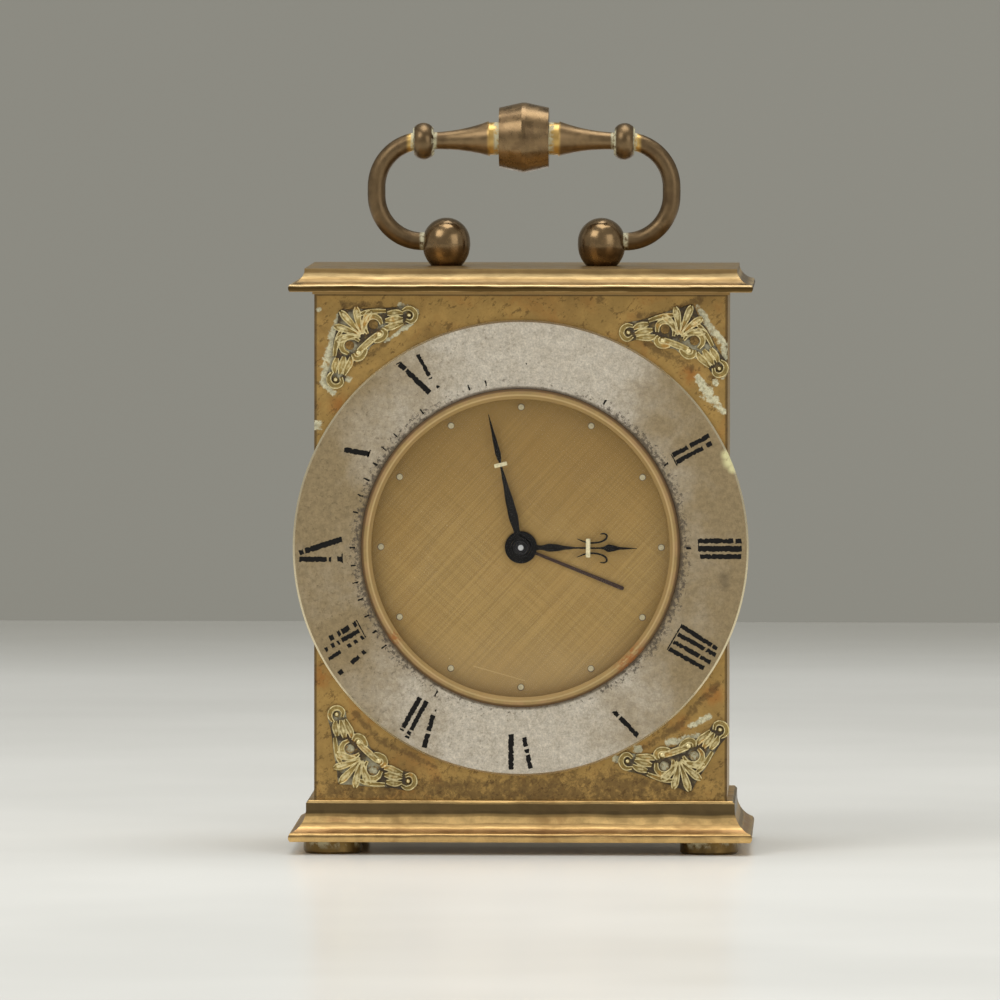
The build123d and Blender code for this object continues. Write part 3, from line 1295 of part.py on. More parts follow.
def make_movement_ring():
    ring_body = ring(dial_centre, mount_ring_radius, mount_ring_bore, panel_back, plate_front)
    ring_body += ring(dial_centre, mount_flange_radius, mount_ring_bore, panel_back, mount_flange_back)
    ring_body -= disc(dial_centre, bezel_flange_radius + SLIP_CLEARANCE, panel_back - CUT_OVERRUN, bezel_back)
    ring_body -= disc(dial_centre, dial_radius + SLIP_CLEARANCE, panel_back - CUT_OVERRUN, dial_back)
    for at in mount_screw_places:
        ring_body -= hole(at, SCREW_RADIUS + SCREW_CLEARANCE, panel_back, mount_flange_back)
        ring_body -= disc(at, SCREW_HEAD_RADIUS + SLIP_CLEARANCE, mount_flange_back, plate_front + CUT_OVERRUN)
    for at in plate_screw_places:
        depth = plate_front - SCREW_BITE - END_PLAY
        ring_body -= disc(at, SCREW_RADIUS + SCREW_CLEARANCE, depth, plate_front + CUT_OVERRUN)
    return ring_body


def make_movement_screws():
    """The screws of the mounting ring, the front plate, the pillars and the cock."""
    head = (SCREW_HEAD_RADIUS, SCREW_HEAD_HEIGHT)
    tip = plate_front - SCREW_BITE
    screws = [screw(at, SCREW_RADIUS, panel_front, mount_flange_back, *head) for at in mount_screw_places]
    screws += [screw(at, SCREW_RADIUS, tip, gap_front, *head) for at in plate_screw_places]
    screws += [screw(at, SCREW_RADIUS, gap_back - SCREW_BITE, plate_back, *head) for at in pillar_places]
    return screws + [screw(cock_foot_at, SCREW_RADIUS, gap_back, plate_back + COCK_THICKNESS, *head)]


# Phases of the going train: each wheel has a tooth towards its pinion
barrel_span = (level(BARREL_LEVEL_SHARE), level(BARREL_LEVEL_SHARE) + BARREL_RIM)
barrel_drum_height = BARREL_DRUM_SHARE * PLATE_GAP


def pinion_phase(wheel_at, wheel_teeth, pinion_at, pinion_teeth):
    """The phase of a pinion whose wheel points a tooth at it."""
    return meshing_phase(wheel_at, wheel_teeth, direction(wheel_at, pinion_at), pinion_at, pinion_teeth)


def make_barrel(at, pinion_at):
    """A toothed drum with a lid, open inside for the mainspring."""
    front, rim_back = barrel_span
    drum_back = rim_back + barrel_drum_height
    drum = gear(at, BARREL_TEETH, BARREL_MODULE, direction(at, pinion_at), front, rim_back)
    drum += disc(at, BARREL_DRUM_RADIUS, rim_back, drum_back)
    drum -= disc(at, BARREL_DRUM_RADIUS - BARREL_WALL, rim_back, drum_back - BARREL_WALL)
    return drum - hole(at, WINDING_ARBOR_RADIUS + PIVOT_CLEARANCE, front, drum_back)


def make_mainspring(at):
    front = barrel_span[1] + SPRING_SIDE_GAP
    back = barrel_span[1] + barrel_drum_height - BARREL_WALL - SPRING_SIDE_GAP
    inner = BARREL_DRUM_RADIUS - BARREL_WALL - SPRING_SIDE_GAP - SPRING_THICKNESS
    inner -= SPRING_PITCH / 2 * SPRING_HALF_TURNS
    return slab(spiral_outline(at, inner, SPRING_PITCH, SPRING_HALF_TURNS, SPRING_THICKNESS), front, back)


ratchet_front = plate_back + RATCHET_LIFT
ratchet_back = ratchet_front + RATCHET_THICKNESS


def make_winding_arbor(at):
    """The barrel's arbor with its ratchet wheel behind the back plate and a thread for the key."""
    shaft = disc(at, WINDING_ARBOR_RADIUS, plate_front, key_front)
    shaft += disc(at, KEY_THREAD_RADIUS, key_front, key_front + KEY_HUB_LENGTH / 2)
    root = RATCHET_RADIUS - RATCHET_TOOTH_DEPTH
    teeth = star_outline(at, RATCHET_TEETH, RATCHET_RADIUS, root, RATCHET_LEAN_SHARE, CLICK_DEGREES)
    return shaft + slab(teeth, ratchet_front, ratchet_back)


def click_place(barrel_at):
    """The place of the click's pin beside a ratchet."""
    return polar(barrel_at, CLICK_DISTANCE, CLICK_DEGREES - CLICK_LEAD_DEGREES)


def make_click(barrel_at):
    """A pivoted pawl: pin in the back plate, arm, and a nose that points at the ratchet."""
    at = click_place(barrel_at)
    nose = polar(barrel_at, RATCHET_RADIUS + CLICK_NOSE, CLICK_DEGREES)
    away = direction(nose, at)
    tail = polar(at, CLICK_TAIL, away)
    click = bar(at, tail, CLICK_WIDTH, ratchet_front, ratchet_back)
    side = away + 90
    half = CLICK_WIDTH / 2
    blade = make_face(Polyline(nose, polar(at, half, side), polar(at, half, side + 180), close=True))
    click += slab(blade, ratchet_front, ratchet_back)
    return click + disc(at, CLICK_PIN_RADIUS, gap_back, ratchet_front)


def make_key(at):
    """A wing key: a bored hub and two rings that the fingers turn."""
    hub_back = key_front + KEY_HUB_LENGTH
    key = disc(at, KEY_HUB_RADIUS, key_front, hub_back)
    wings = Sketch()
    for side in (-1, 1):
        place = Pos(side * KEY_WING_REACH, key_front + KEY_WING_PLACE)
        wings += place * Circle(KEY_WING_RADIUS)
        wings -= place * Circle(KEY_WING_HOLE_RADIUS)
    wings += Pos(0, key_front + KEY_WING_PLACE) * Rectangle(2 * KEY_HUB_RADIUS, KEY_WING_RADIUS)
    plate = extrude(wings, amount=KEY_WING_THICKNESS / 2, both=True)
    key += Pos(at[0], 0, at[1]) * plate
    thread = KEY_THREAD_RADIUS + SCREW_CLEARANCE
    return key - disc(at, thread, key_front - CUT_OVERRUN, key_front + KEY_HUB_LENGTH / 2)


def make_intermediate_wheel():
    wheel = arbor(intermediate_at, ARBOR_RADIUS)
    way = direction(intermediate_at, dial_centre)
    wheel += spoked_gear(
        intermediate_at, INTERMEDIATE_TEETH, INTERMEDIATE_MODULE, way, *wheel_span(INTERMEDIATE_LEVEL_SHARE)
    )
    phase = pinion_phase(time_barrel_at, BARREL_TEETH, intermediate_at, BARREL_PINION_TEETH)
    span = pinion_span(BARREL_LEVEL_SHARE, BARREL_RIM)
    return wheel + gear(intermediate_at, BARREL_PINION_TEETH, BARREL_MODULE, phase, *span)


def make_centre_wheel():
    pipe_front = minute_hand_back - HAND_THICKNESS - PIPE_STEP
    shaft = disc(dial_centre, CENTRE_ARBOR_RADIUS, pipe_front, gap_back - END_PLAY)
    shaft += disc(dial_centre, CENTRE_TIP_RADIUS, pipe_front - PIPE_STEP, pipe_front)
    shaft += disc(dial_centre, PIVOT_RADIUS, gap_back - END_PLAY, plate_back)
    phase = pinion_phase(intermediate_at, INTERMEDIATE_TEETH, dial_centre, CENTRE_PINION_TEETH)
    span = pinion_span(INTERMEDIATE_LEVEL_SHARE)
    shaft += gear(dial_centre, CENTRE_PINION_TEETH, INTERMEDIATE_MODULE, phase, *span)
    way = direction(dial_centre, third_at)
    return shaft + spoked_gear(dial_centre, CENTRE_TEETH, CENTRE_MODULE, way, *wheel_span(CENTRE_LEVEL_SHARE))


def train_wheel(at, before, pinion, after, wheel):
    """A wheel and pinion on one arbor, between the wheel before it and the arbor after it."""
    before_at, before_teeth = before
    pinion_teeth, pinion_module, pinion_share = pinion
    wheel_teeth, wheel_module, wheel_share = wheel
    piece = arbor(at, ARBOR_RADIUS)
    phase = pinion_phase(before_at, before_teeth, at, pinion_teeth)
    piece += gear(at, pinion_teeth, pinion_module, phase, *pinion_span(pinion_share))
    return piece + spoked_gear(at, wheel_teeth, wheel_module, direction(at, after), *wheel_span(wheel_share))


def make_third_wheel():
    return train_wheel(
        third_at,
        (dial_centre, CENTRE_TEETH),
        (THIRD_PINION_TEETH, CENTRE_MODULE, CENTRE_LEVEL_SHARE),
        fourth_at,
        (THIRD_TEETH, THIRD_MODULE, THIRD_LEVEL_SHARE),
    )


def make_fourth_wheel():
    return train_wheel(
        fourth_at,
        (third_at, THIRD_TEETH),
        (FOURTH_PINION_TEETH, THIRD_MODULE, THIRD_LEVEL_SHARE),
        escape_at,
        (FOURTH_TEETH, FOURTH_MODULE, FOURTH_LEVEL_SHARE),
    )


def make_escape_wheel():
    piece = arbor(escape_at, FINE_ARBOR_RADIUS)
    phase = pinion_phase(fourth_at, FOURTH_TEETH, escape_at, ESCAPE_PINION_TEETH)
    piece += gear(escape_at, ESCAPE_PINION_TEETH, FOURTH_MODULE, phase, *pinion_span(FOURTH_LEVEL_SHARE))
    root = ESCAPE_RADIUS - ESCAPE_TOOTH_DEPTH
    tip_on_line = PALLET_DEGREES - ESCAPE_LEAN_SHARE * 360 / ESCAPE_TEETH
    teeth = star_outline(escape_at, ESCAPE_TEETH, ESCAPE_RADIUS, root, ESCAPE_LEAN_SHARE, tip_on_line)
    return piece + slab(teeth, *wheel_span(ESCAPE_LEVEL_SHARE))


def make_pallet_lever():
    front, back = wheel_span(ESCAPE_LEVEL_SHARE)
    lever = arbor(pallet_at, FINE_ARBOR_RADIUS)
    towards_lever = direction(escape_at, pallet_at)
    for side in (-1, 1):
        reach = ESCAPE_RADIUS + PALLET_GAP + PALLET_SIZE / 2
        stone_at = polar(escape_at, reach, towards_lever + side * PALLET_SPAN_DEGREES)
        lever += bar(pallet_at, stone_at, PALLET_SIZE, front, back)
    fork_reach = BALANCE_DISTANCE - ROLLER_RADIUS - ROLLER_GAP - PALLET_ARM_WIDTH / 2
    fork_at = polar(pallet_at, fork_reach, direction(pallet_at, balance_at))
    return lever + bar(pallet_at, fork_at, PALLET_ARM_WIDTH, front, back)


balance_rear = plate_back + COCK_THICKNESS


def make_balance_wheel():
    front = level(BALANCE_LEVEL_SHARE)
    back = front + BALANCE_RIM_HEIGHT
    wheel = ring(balance_at, BALANCE_RADIUS, BALANCE_RADIUS - BALANCE_RIM_WIDTH, front, back)
    reach = BALANCE_RADIUS - BALANCE_RIM_WIDTH / 2
    for arm in range(BALANCE_ARMS):
        rim_at = polar(balance_at, reach, arm * 360 / BALANCE_ARMS)
        wheel += bar(balance_at, rim_at, BALANCE_ARM_WIDTH, front, back)
    wheel += disc(balance_at, ARBOR_RADIUS, gap_front + END_PLAY, plate_back - END_PLAY)
    wheel += disc(balance_at, PIVOT_RADIUS, plate_front, balance_rear)
    wheel += disc(balance_at, ROLLER_RADIUS, *wheel_span(ESCAPE_LEVEL_SHARE))
    collet_back = level(HAIRSPRING_LEVEL_SHARE) + HAIRSPRING_HEIGHT
    return wheel + disc(balance_at, COLLET_RADIUS, back, collet_back)


def hairspring_reach():
    """The outer radius of the hairspring at its outer end."""
    coils = HAIRSPRING_PITCH / 2 * HAIRSPRING_HALF_TURNS
    return COLLET_RADIUS + HAIRSPRING_GAP + coils + HAIRSPRING_THICKNESS


def make_hairspring():
    front = level(HAIRSPRING_LEVEL_SHARE)
    inner = COLLET_RADIUS + HAIRSPRING_GAP + HAIRSPRING_PITCH / 4
    outline = spiral_outline(balance_at, inner, HAIRSPRING_PITCH, HAIRSPRING_HALF_TURNS, HAIRSPRING_THICKNESS)
    return slab(outline, front, front + HAIRSPRING_HEIGHT)


def make_balance_cock():
    """The bridge over the balance, with the boss that the regulator turns on and the hairspring's stud."""
    front, back = plate_back, balance_rear
    cock = bar(balance_at, cock_foot_at, COCK_WIDTH, front, back)
    cock += disc(balance_at, COCK_BOSS_RADIUS, back, back + COCK_BOSS_HEIGHT)
    stud_at = polar(balance_at, hairspring_reach() + STUD_RADIUS + HAIRSPRING_GAP, COCK_DEGREES)
    cock += disc(stud_at, STUD_RADIUS, level(HAIRSPRING_LEVEL_SHARE), front)
    cock -= disc(balance_at, PIVOT_RADIUS + PIVOT_CLEARANCE, front - CUT_OVERRUN, back + END_PLAY)
    return cock - hole(cock_foot_at, SCREW_RADIUS + SCREW_CLEARANCE, front, back)


def make_regulator():
    """The rate lever: a ring on the cock's boss, an arm and a post that comes out of the back panel."""
    front = balance_rear + REGULATOR_LIFT
    back = front + REGULATOR_THICKNESS
    post_at = regulator_post_place(0)
    lever = disc(balance_at, REGULATOR_RING_RADIUS, front, back)
    lever += bar(balance_at, post_at, REGULATOR_WIDTH, front, back)
    lever += disc(post_at, REGULATOR_POST_RADIUS, front, back_panel_back + REGULATOR_PROUD)
    return lever - hole(balance_at, COCK_BOSS_RADIUS + PIVOT_CLEARANCE, front, back)


# Alarm
def make_alarm_star_wheel():
    piece = arbor(star_at, ARBOR_RADIUS)
    phase = pinion_phase(alarm_barrel_at, BARREL_TEETH, star_at, BARREL_PINION_TEETH)
    span = pinion_span(BARREL_LEVEL_SHARE, BARREL_RIM)
    piece += gear(star_at, BARREL_PINION_TEETH, BARREL_MODULE, phase, *span)
    root = STAR_RADIUS - STAR_TOOTH_DEPTH
    teeth = star_outline(star_at, STAR_TEETH, STAR_RADIUS, root, STAR_LEAN_SHARE, HAMMER_DEGREES)
    return piece + slab(teeth, *wheel_span(STAR_LEVEL_SHARE))


hammer_front = plate_back + HAMMER_LIFT
hammer_back = hammer_front + HAMMER_ARM_THICKNESS
hammer_head_length = HAMMER_HEAD_SHARE * (back_panel_front - hammer_front)
hammer_head_at = (hammer_at[0], hammer_at[1] + HAMMER_ARM_LENGTH)
hammer_swing_reach = HAMMER_ARM_LENGTH * math.sin(math.radians(HAMMER_SWING_DEGREES))
gong_at = (
    hammer_head_at[0] + HAMMER_HEAD_RADIUS + GONG_RADIUS + GONG_GAP + hammer_swing_reach, hammer_head_at[1]
)


def make_hammer():
    """The alarm hammer: verge in front, arbor through both plates, arm, head and tail behind."""
    hammer = disc(hammer_at, HAMMER_ARBOR_RADIUS, plate_front, hammer_back)
    towards_hammer = direction(star_at, hammer_at)
    front, back = wheel_span(STAR_LEVEL_SHARE)
    for side in (-1, 1):
        reach = STAR_RADIUS + PALLET_GAP + PALLET_SIZE / 2
        tip = polar(star_at, reach, towards_hammer + side * PALLET_SPAN_DEGREES)
        hammer += bar(hammer_at, tip, PALLET_SIZE, front, back)
    tail_at = (hammer_at[0], hammer_at[1] - HAMMER_TAIL_LENGTH)
    hammer += bar(tail_at, hammer_head_at, HAMMER_ARM_WIDTH, hammer_front, hammer_back)
    return hammer + disc(hammer_head_at, HAMMER_HEAD_RADIUS, hammer_front, hammer_front + hammer_head_length)


def make_gong_post():
    post = disc(gong_at, GONG_RADIUS, hammer_front, back_panel_front)
    return post + disc(gong_at, GONG_TENON_RADIUS, back_panel_front, back_panel_back)


def make_stop_button():
    """A push rod that stops the hammer's tail when it is pushed in."""
    head_front = back_panel_back + STOP_TRAVEL + STOP_HEAD_GAP
    rod_tip = hammer_back + STOP_HEAD_GAP
    button = disc(stop_at, STOP_ROD_RADIUS, rod_tip, head_front)
    return button + disc(stop_at, STOP_HEAD_RADIUS, head_front, head_front + STOP_HEAD_LENGTH)


def make_nodes():
    """Every node of the clock by name."""
    collar = make_collar()
    arm = make_arm(collar)
    nodes = {
        "plinth": make_plinth(),
        "feet": make_feet(),
        "case_screws": make_plinth_screws() + make_back_screws(),
        "case_shell": make_case_shell(),
        "front_panel": make_front_panel(),
        "back_panel": make_back_panel(),
        "corner_pillars": make_corner_pillars(),
        "cornice": make_cornice(),
        "handle_posts": make_handle_posts(),
        "post_nuts": make_post_nuts(),
        "handle_arms": both_sides(arm),
        "handle_collars": both_sides(collar),
        "handle_sleeves": both_sides(make_sleeve()),
        "handle_grip": make_grip(),
        "chapter_ring": make_chapter_ring(),
        "corner_ornaments": [make_ornament(corner) for corner in ORNAMENT_TURNS_DEGREES],
        "bezel": make_bezel(),
        "crystal": make_crystal(),
        "dial": make_dial(),
        "hour_dots": make_hour_dots(),
        "minute_hand": make_minute_hand(),
        "hour_hand": make_hour_hand(),
        "alarm_hand": make_alarm_hand(),
        "movement_ring": make_movement_ring(),
        "movement_screws": make_movement_screws(),
        "front_plate": make_front_plate(),
        "back_plate": make_back_plate(),
        "plate_pillars": make_plate_pillars(),
        "cannon_pinion": make_cannon_pinion(),
        "minute_wheel": make_minute_wheel(),
        "hour_wheel": make_hour_wheel(),
        "alarm_wheel": make_alarm_wheel(),
        "hand_setting_arbor": make_hand_setting_arbor(),
        "alarm_setting_arbor": make_alarm_setting_arbor(),
        "hand_setting_knob": make_knob(hand_set_at),
        "alarm_setting_knob": make_knob(alarm_set_at),
        "time_barrel": make_barrel(time_barrel_at, intermediate_at),
        "time_mainspring": make_mainspring(time_barrel_at),
        "time_winding_arbor": make_winding_arbor(time_barrel_at),
        "time_click": make_click(time_barrel_at),
        "time_key": make_key(time_barrel_at),
        "intermediate_wheel": make_intermediate_wheel(),
        "centre_wheel": make_centre_wheel(),
        "third_wheel": make_third_wheel(),
        "fourth_wheel": make_fourth_wheel(),
        "escape_wheel": make_escape_wheel(),
        "pallet_lever": make_pallet_lever(),
        "balance_wheel": make_balance_wheel(),
        "hairspring": make_hairspring(),
        "balance_cock": make_balance_cock(),
        "regulator": make_regulator(),
        "alarm_barrel": make_barrel(alarm_barrel_at, star_at),
        "alarm_mainspring": make_mainspring(alarm_barrel_at),
        "alarm_winding_arbor": make_winding_arbor(alarm_barrel_at),
        "alarm_click": make_click(alarm_barrel_at),
        "alarm_key": make_key(alarm_barrel_at),
        "alarm_star_wheel": make_alarm_star_wheel(),
        "alarm_hammer": make_hammer(),
        "gong_post": make_gong_post(),
        "stop_button": make_stop_button(),
    }
    return nodes


def write_parts():
    """Writes each node to its own file, with the origin under the middle of the clock."""
    os.makedirs("parts", exist_ok=True)
    for name, shape in make_nodes().items():
        pieces = shape if isinstance(shape, list) else [shape]
        solids = [solid for piece in pieces for solid in piece.solids()]
        placed = [Pos(0, frame_shift, 0) * solid for solid in solids]
        export_step(placed[0] if len(placed) == 1 else Compound(placed), f"parts/{name}.step")


write_parts()
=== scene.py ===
"""Desk clock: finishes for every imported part, painted numerals, cast corner ornaments, hands and the stage."""

import math
import random

import bpy
from mathutils import Matrix, Vector


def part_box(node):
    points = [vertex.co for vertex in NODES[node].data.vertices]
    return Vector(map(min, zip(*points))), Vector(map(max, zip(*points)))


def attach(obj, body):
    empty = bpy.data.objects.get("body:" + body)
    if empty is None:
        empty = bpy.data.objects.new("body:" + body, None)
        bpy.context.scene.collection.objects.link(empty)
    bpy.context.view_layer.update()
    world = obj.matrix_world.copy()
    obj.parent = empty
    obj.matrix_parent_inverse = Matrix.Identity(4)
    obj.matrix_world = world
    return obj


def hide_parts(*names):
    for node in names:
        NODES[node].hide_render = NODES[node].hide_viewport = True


bl_info = {
    "name": "Desk clock",
    "version": (1, 0, 0),
    "blender": (4, 5, 0),
    "location": "View3D > Sidebar > Clock",
    "description": "Finishes, numerals, corner castings, hands and stage of a brass desk clock",
    "category": "Object",
}

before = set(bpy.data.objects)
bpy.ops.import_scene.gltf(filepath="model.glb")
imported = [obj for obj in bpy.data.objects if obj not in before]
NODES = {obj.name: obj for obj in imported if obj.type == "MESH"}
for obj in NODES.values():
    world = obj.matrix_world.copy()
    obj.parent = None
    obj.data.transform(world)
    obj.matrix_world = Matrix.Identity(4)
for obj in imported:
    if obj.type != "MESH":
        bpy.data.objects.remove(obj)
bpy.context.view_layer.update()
MM = 0.001


def in_mm(corners):
    """The low and the high corner of a box, in millimetres."""
    return [Vector(corner) / MM for corner in corners]


# Places that the finishes and pieces are measured from, in millimetres
RING_LOW, RING_HIGH = in_mm(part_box("chapter_ring"))
PANEL_LOW, PANEL_HIGH = in_mm(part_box("front_panel"))
DOTS_LOW, DOTS_HIGH = in_mm(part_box("hour_dots"))
DIAL_X = (RING_LOW.x + RING_HIGH.x) / 2
DIAL_Z = (RING_LOW.z + RING_HIGH.z) / 2
RING_RADIUS = (RING_HIGH.x - RING_LOW.x) / 2
DOT_RADIUS = 0.55
DOT_CIRCLE = (DOTS_HIGH.z - DOTS_LOW.z) / 2 - DOT_RADIUS
HOUR_ANGLE, MINUTE_ANGLE = math.radians(30), math.radians(6)
# How much wider a trail is drawn than its half widths say
TRAIL_SPREAD = 1.6
# Where spots and trails fade out and where they are full, as shares of their radius or half width
SPOT_FADE = (1.4, 0.2)
TRAIL_FADE = (1.5, 0.1)
# Roughness of dried polish
POLISH_ROUGHNESS = 0.85


def shade(red, green, blue):
    """A colour as it looks on a screen, from 0 to 255, as the linear colour that a shader takes."""
    channels = []
    for value in (red, green, blue):
        share = value / 255
        channels.append(share / 12.92 if share <= 0.04045 else ((share + 0.055) / 1.055) ** 2.4)
    return tuple(channels)


def tint(colour, share):
    """A lighter or darker version of a colour."""
    return tuple(min(1.0, channel * share) for channel in colour)


# Sizes and colours that a user would change


def colour_setting(name, description, default):
    return bpy.props.FloatVectorProperty(
        name=name, description=description, default=default, subtype="COLOR", size=3, min=0, max=1
    )


def length_setting(name, description, millimetres):
    return bpy.props.FloatProperty(name=name, description=description, default=millimetres * MM, unit="LENGTH")


def power_setting(name, description, watts):
    return bpy.props.FloatProperty(name=name, description=description, default=watts, unit="POWER")


class ClockSizes(bpy.types.PropertyGroup):
    """Sizes of the pieces that are made here."""

    paint_thickness: length_setting("Paint thickness", "Height of the painted numerals above the ring", 0.03)
    paint_raggedness: length_setting("Paint raggedness", "How far the edges of the worn paint wander", 0.09)
    casting_voxel: length_setting("Casting grain", "Finest detail of the corner castings", 0.07)
    casting_clearance: length_setting("Casting clearance", "Gap between a casting and the chapter ring", 0.15)
    lume_thickness: length_setting("Lume thickness", "Height of the pale bars on the hands", 0.12)


class ClockColours(bpy.types.PropertyGroup):
    """Colours of the finishes."""

    case_brass: colour_setting("Case brass", "Aged brass of the case", shade(172, 139, 80))
    moulding_brass: colour_setting("Moulding brass", "Brighter brass of the mouldings", shade(202, 168, 110))
    brass_stain: colour_setting("Brass stain", "Brown stains on the brass", shade(120, 90, 50))
    bronze: colour_setting("Bronze", "Brown bronze of the handle", shade(124, 102, 72))
    silver: colour_setting("Silver", "Warm silver of the chapter ring", shade(203, 194, 178))
    # also laid as painted shade on the chapter ring's left and right sides
    tarnish_and_shade: colour_setting("Tarnish", "Olive tarnish on the chapter ring", shade(148, 130, 98))
    dial_gold: colour_setting("Dial gold", "Brushed gold of the dial", shade(168, 139, 86))
    paint: colour_setting("Paint", "Black of the numerals", shade(16, 14, 12))
    lume: colour_setting("Lume", "Cream of the dots and of the bars on the hands", shade(214, 203, 164))
    residue: colour_setting("Residue", "Pale dried polish in the corners", shade(206, 202, 170))
    casting_gold: colour_setting("Casting gold", "Olive gold of the corner castings", shade(150, 128, 72))
    steel: colour_setting("Steel", "Steel of the arbors, clicks and levers", shade(150, 150, 150))


class ClockStage(bpy.types.PropertyGroup):
    """Camera, lamps and table."""

    camera_place: bpy.props.FloatVectorProperty(
        name="Camera place", description="Where the camera stands", default=(0.052, -2.05, 0.143), subtype="XYZ"
    )
    camera_turn: bpy.props.FloatVectorProperty(
        name="Camera turn", description="Turn to the left, down and clockwise", subtype="EULER",
        default=(math.radians(1.557), math.radians(2.508), math.radians(0.05)),
    )
    lens: bpy.props.FloatProperty(name="Lens", description="Focal length in millimetres", default=480.0)
    key_power: power_setting("Key lamp", "Power of the key lamp", 26)
    fill_power: power_setting("Fill lamp", "Power of the fill lamp", 12)
    top_power: power_setting("Top lamp", "Power of the lamp above", 22)
    world_level: bpy.props.FloatProperty(name="Room light", description="Strength of the even light", default=0.5)
    table: colour_setting("Table", "Colour of the table", shade(252, 252, 247))
    backdrop: colour_setting("Backdrop", "Colour of the backdrop", shade(168, 167, 158))


# Finishes


class Finish:
    """One procedural material, laid coat by coat on the piece's own coordinates, in millimetres."""

    def __init__(self, name, colour=(0.8, 0.8, 0.8), metallic=0.0):
        self.material = bpy.data.materials.new(name)
        self.material.use_nodes = True
        self.tree = self.material.node_tree
        self.inputs = self.tree.nodes["Principled BSDF"].inputs
        self.colour, self.roughness, self.metallic = colour, 0.5, metallic
        metres = self.node("TexCoord").outputs["Object"]
        self.place = self.vector("MULTIPLY", metres, (1 / MM, 1 / MM, 1 / MM)).outputs[0]
        self.flat = self.vector("MULTIPLY", self.place, (1, 0, 1)).outputs[0]
        self.x, self.y, self.z = self.node("SeparateXYZ", self.place).outputs

    def put(self, socket, value):
        """Links a socket to another, or sets it."""
        if isinstance(value, bpy.types.NodeSocket):
            self.tree.links.new(value, socket)
        elif isinstance(value, (int, float)):
            socket.default_value = value
        else:
            value = tuple(value)
            socket.default_value = value + (1.0,) if socket.type == "RGBA" and len(value) == 3 else value

    def node(self, kind, *values, **settings):
        """A new shader node with its settings, and values or links for its first inputs."""
        node = self.tree.nodes.new(f"ShaderNode{kind}")
        for name, setting in settings.items():
            setattr(node, name, setting)
        for socket, value in zip(node.inputs, values):
            self.put(socket, value)
        return node

    def calc(self, operation, first, second=0.0):
        return self.node("Math", first, second, operation=operation).outputs[0]

    def times(self, first, second):
        return self.calc("MULTIPLY", first, second)

    def most(self, first, second):
        return self.calc("MAXIMUM", first, second)

    def vector(self, operation, *values):
        return self.node("VectorMath", *values, operation=operation)

    def noise(self, grain, detail=4.0, roughness=0.55, stretch=(1, 1, 1), turn=0, distortion=0.0):
        """Noise whose patches are about a grain across, turned in the dial's plane and drawn out by the stretch."""
        turned = self.node("Mapping", self.place, (0, 0, 0), (0, math.radians(turn), 0)).outputs[0]
        drawn = self.vector("MULTIPLY", turned, [1 / share for share in stretch]).outputs[0]
        node = self.node("TexNoise", drawn)
        for name, value in (
            ("Scale", 1 / grain), ("Detail", detail), ("Roughness", roughness), ("Distortion", distortion)
        ):
            node.inputs[name].default_value = value
        return node.outputs[0]

    def band(self, value, low, high, start=0.0, end=1.0):
        """Goes smoothly from the start to the end while the value goes from low to high."""
        return self.node("MapRange", value, low, high, start, end, interpolation_type="SMOOTHSTEP").outputs[0]

    def strip(self, value, low, high, soft):
        """One while the value lies between low and high, with soft ends."""
        return self.times(self.band(value, low - soft, low + soft), self.band(value, high + soft, high - soft))

    def patches(self, grain, low, high, start=0.0, end=1.0, **look):
        """A band over noise of its own."""
        return self.band(self.noise(grain, **look), low, high, start, end)

    def blend(self, share, first, second):
        """A colour between two, by a share."""
        node = self.node("Mix", share, data_type="RGBA")
        self.put(node.inputs[6], first)
        self.put(node.inputs[7], second)
        return node.outputs[2]

    def between(self, share, first, second):
        """A number between two, by a share."""
        node = self.node("Mix", share)
        self.put(node.inputs[2], first)
        self.put(node.inputs[3], second)
        return node.outputs[0]

    def aside(self):
        """Distance from the middle, to the left or right."""
        return self.calc("ABSOLUTE", self.x)

    def distance(self, x=0, z=0):
        """Distance in the dial's plane from a point, which is given from the dial's centre."""
        return self.vector("DISTANCE", self.flat, (DIAL_X + x, 0, DIAL_Z + z)).outputs["Value"]

    def spots(self, places):
        """One inside soft round spots, each given as x and z from the dial's centre and a radius."""
        total = 0.0
        for x, z, radius in places:
            limits = (radius * share for share in SPOT_FADE)
            total = self.most(total, self.band(self.distance(x, z), *limits))
        return total

    def trail(self, points, widths):
        """One along a line of points (x, z from the dial's centre), fading out over a half width at each point."""
        total = 0.0
        for start, end, wide_start, wide_end in zip(points, points[1:], widths, widths[1:]):
            run = Vector((end[0] - start[0], 0, end[1] - start[1]))
            away = self.vector("SUBTRACT", self.flat, (DIAL_X + start[0], 0, DIAL_Z + start[1])).outputs[0]
            reach = self.vector("DOT_PRODUCT", away, run / run.length_squared).outputs["Value"]
            share = self.node("Clamp", reach).outputs[0]
            along = self.vector("SCALE", run)
            self.put(along.inputs["Scale"], share)
            distance = self.vector("DISTANCE", away, along.outputs[0]).outputs["Value"]
            width = self.between(share, wide_start * TRAIL_SPREAD, wide_end * TRAIL_SPREAD)
            total = self.most(total, self.band(self.calc("DIVIDE", distance, width), *TRAIL_FADE))
        return total

    def field(self, lines, spots):
        """The strongest of several trails and spots."""
        total = self.spots(spots)
        for points, widths in lines:
            total = self.most(total, self.trail(points, widths))
        return total

    def torn(self, field, grain, reach, soft, rough):
        """One where a field is strong, with torn edges."""
        noise = self.calc("SUBTRACT", self.noise(grain, detail=6, roughness=0.72, distortion=0.4), 0.5)
        return self.band(self.calc("ADD", self.times(field, 0.9), self.times(noise, rough)), reach, reach + soft)

    def relief(self, height, depth, strength):
        """Bump whose height of one stands for a depth."""
        node = self.node("Bump")
        node.inputs["Strength"].default_value = strength
        node.inputs["Distance"].default_value = depth * MM
        self.put(node.inputs["Height"], height)
        self.put(self.inputs["Normal"], node.outputs[0])

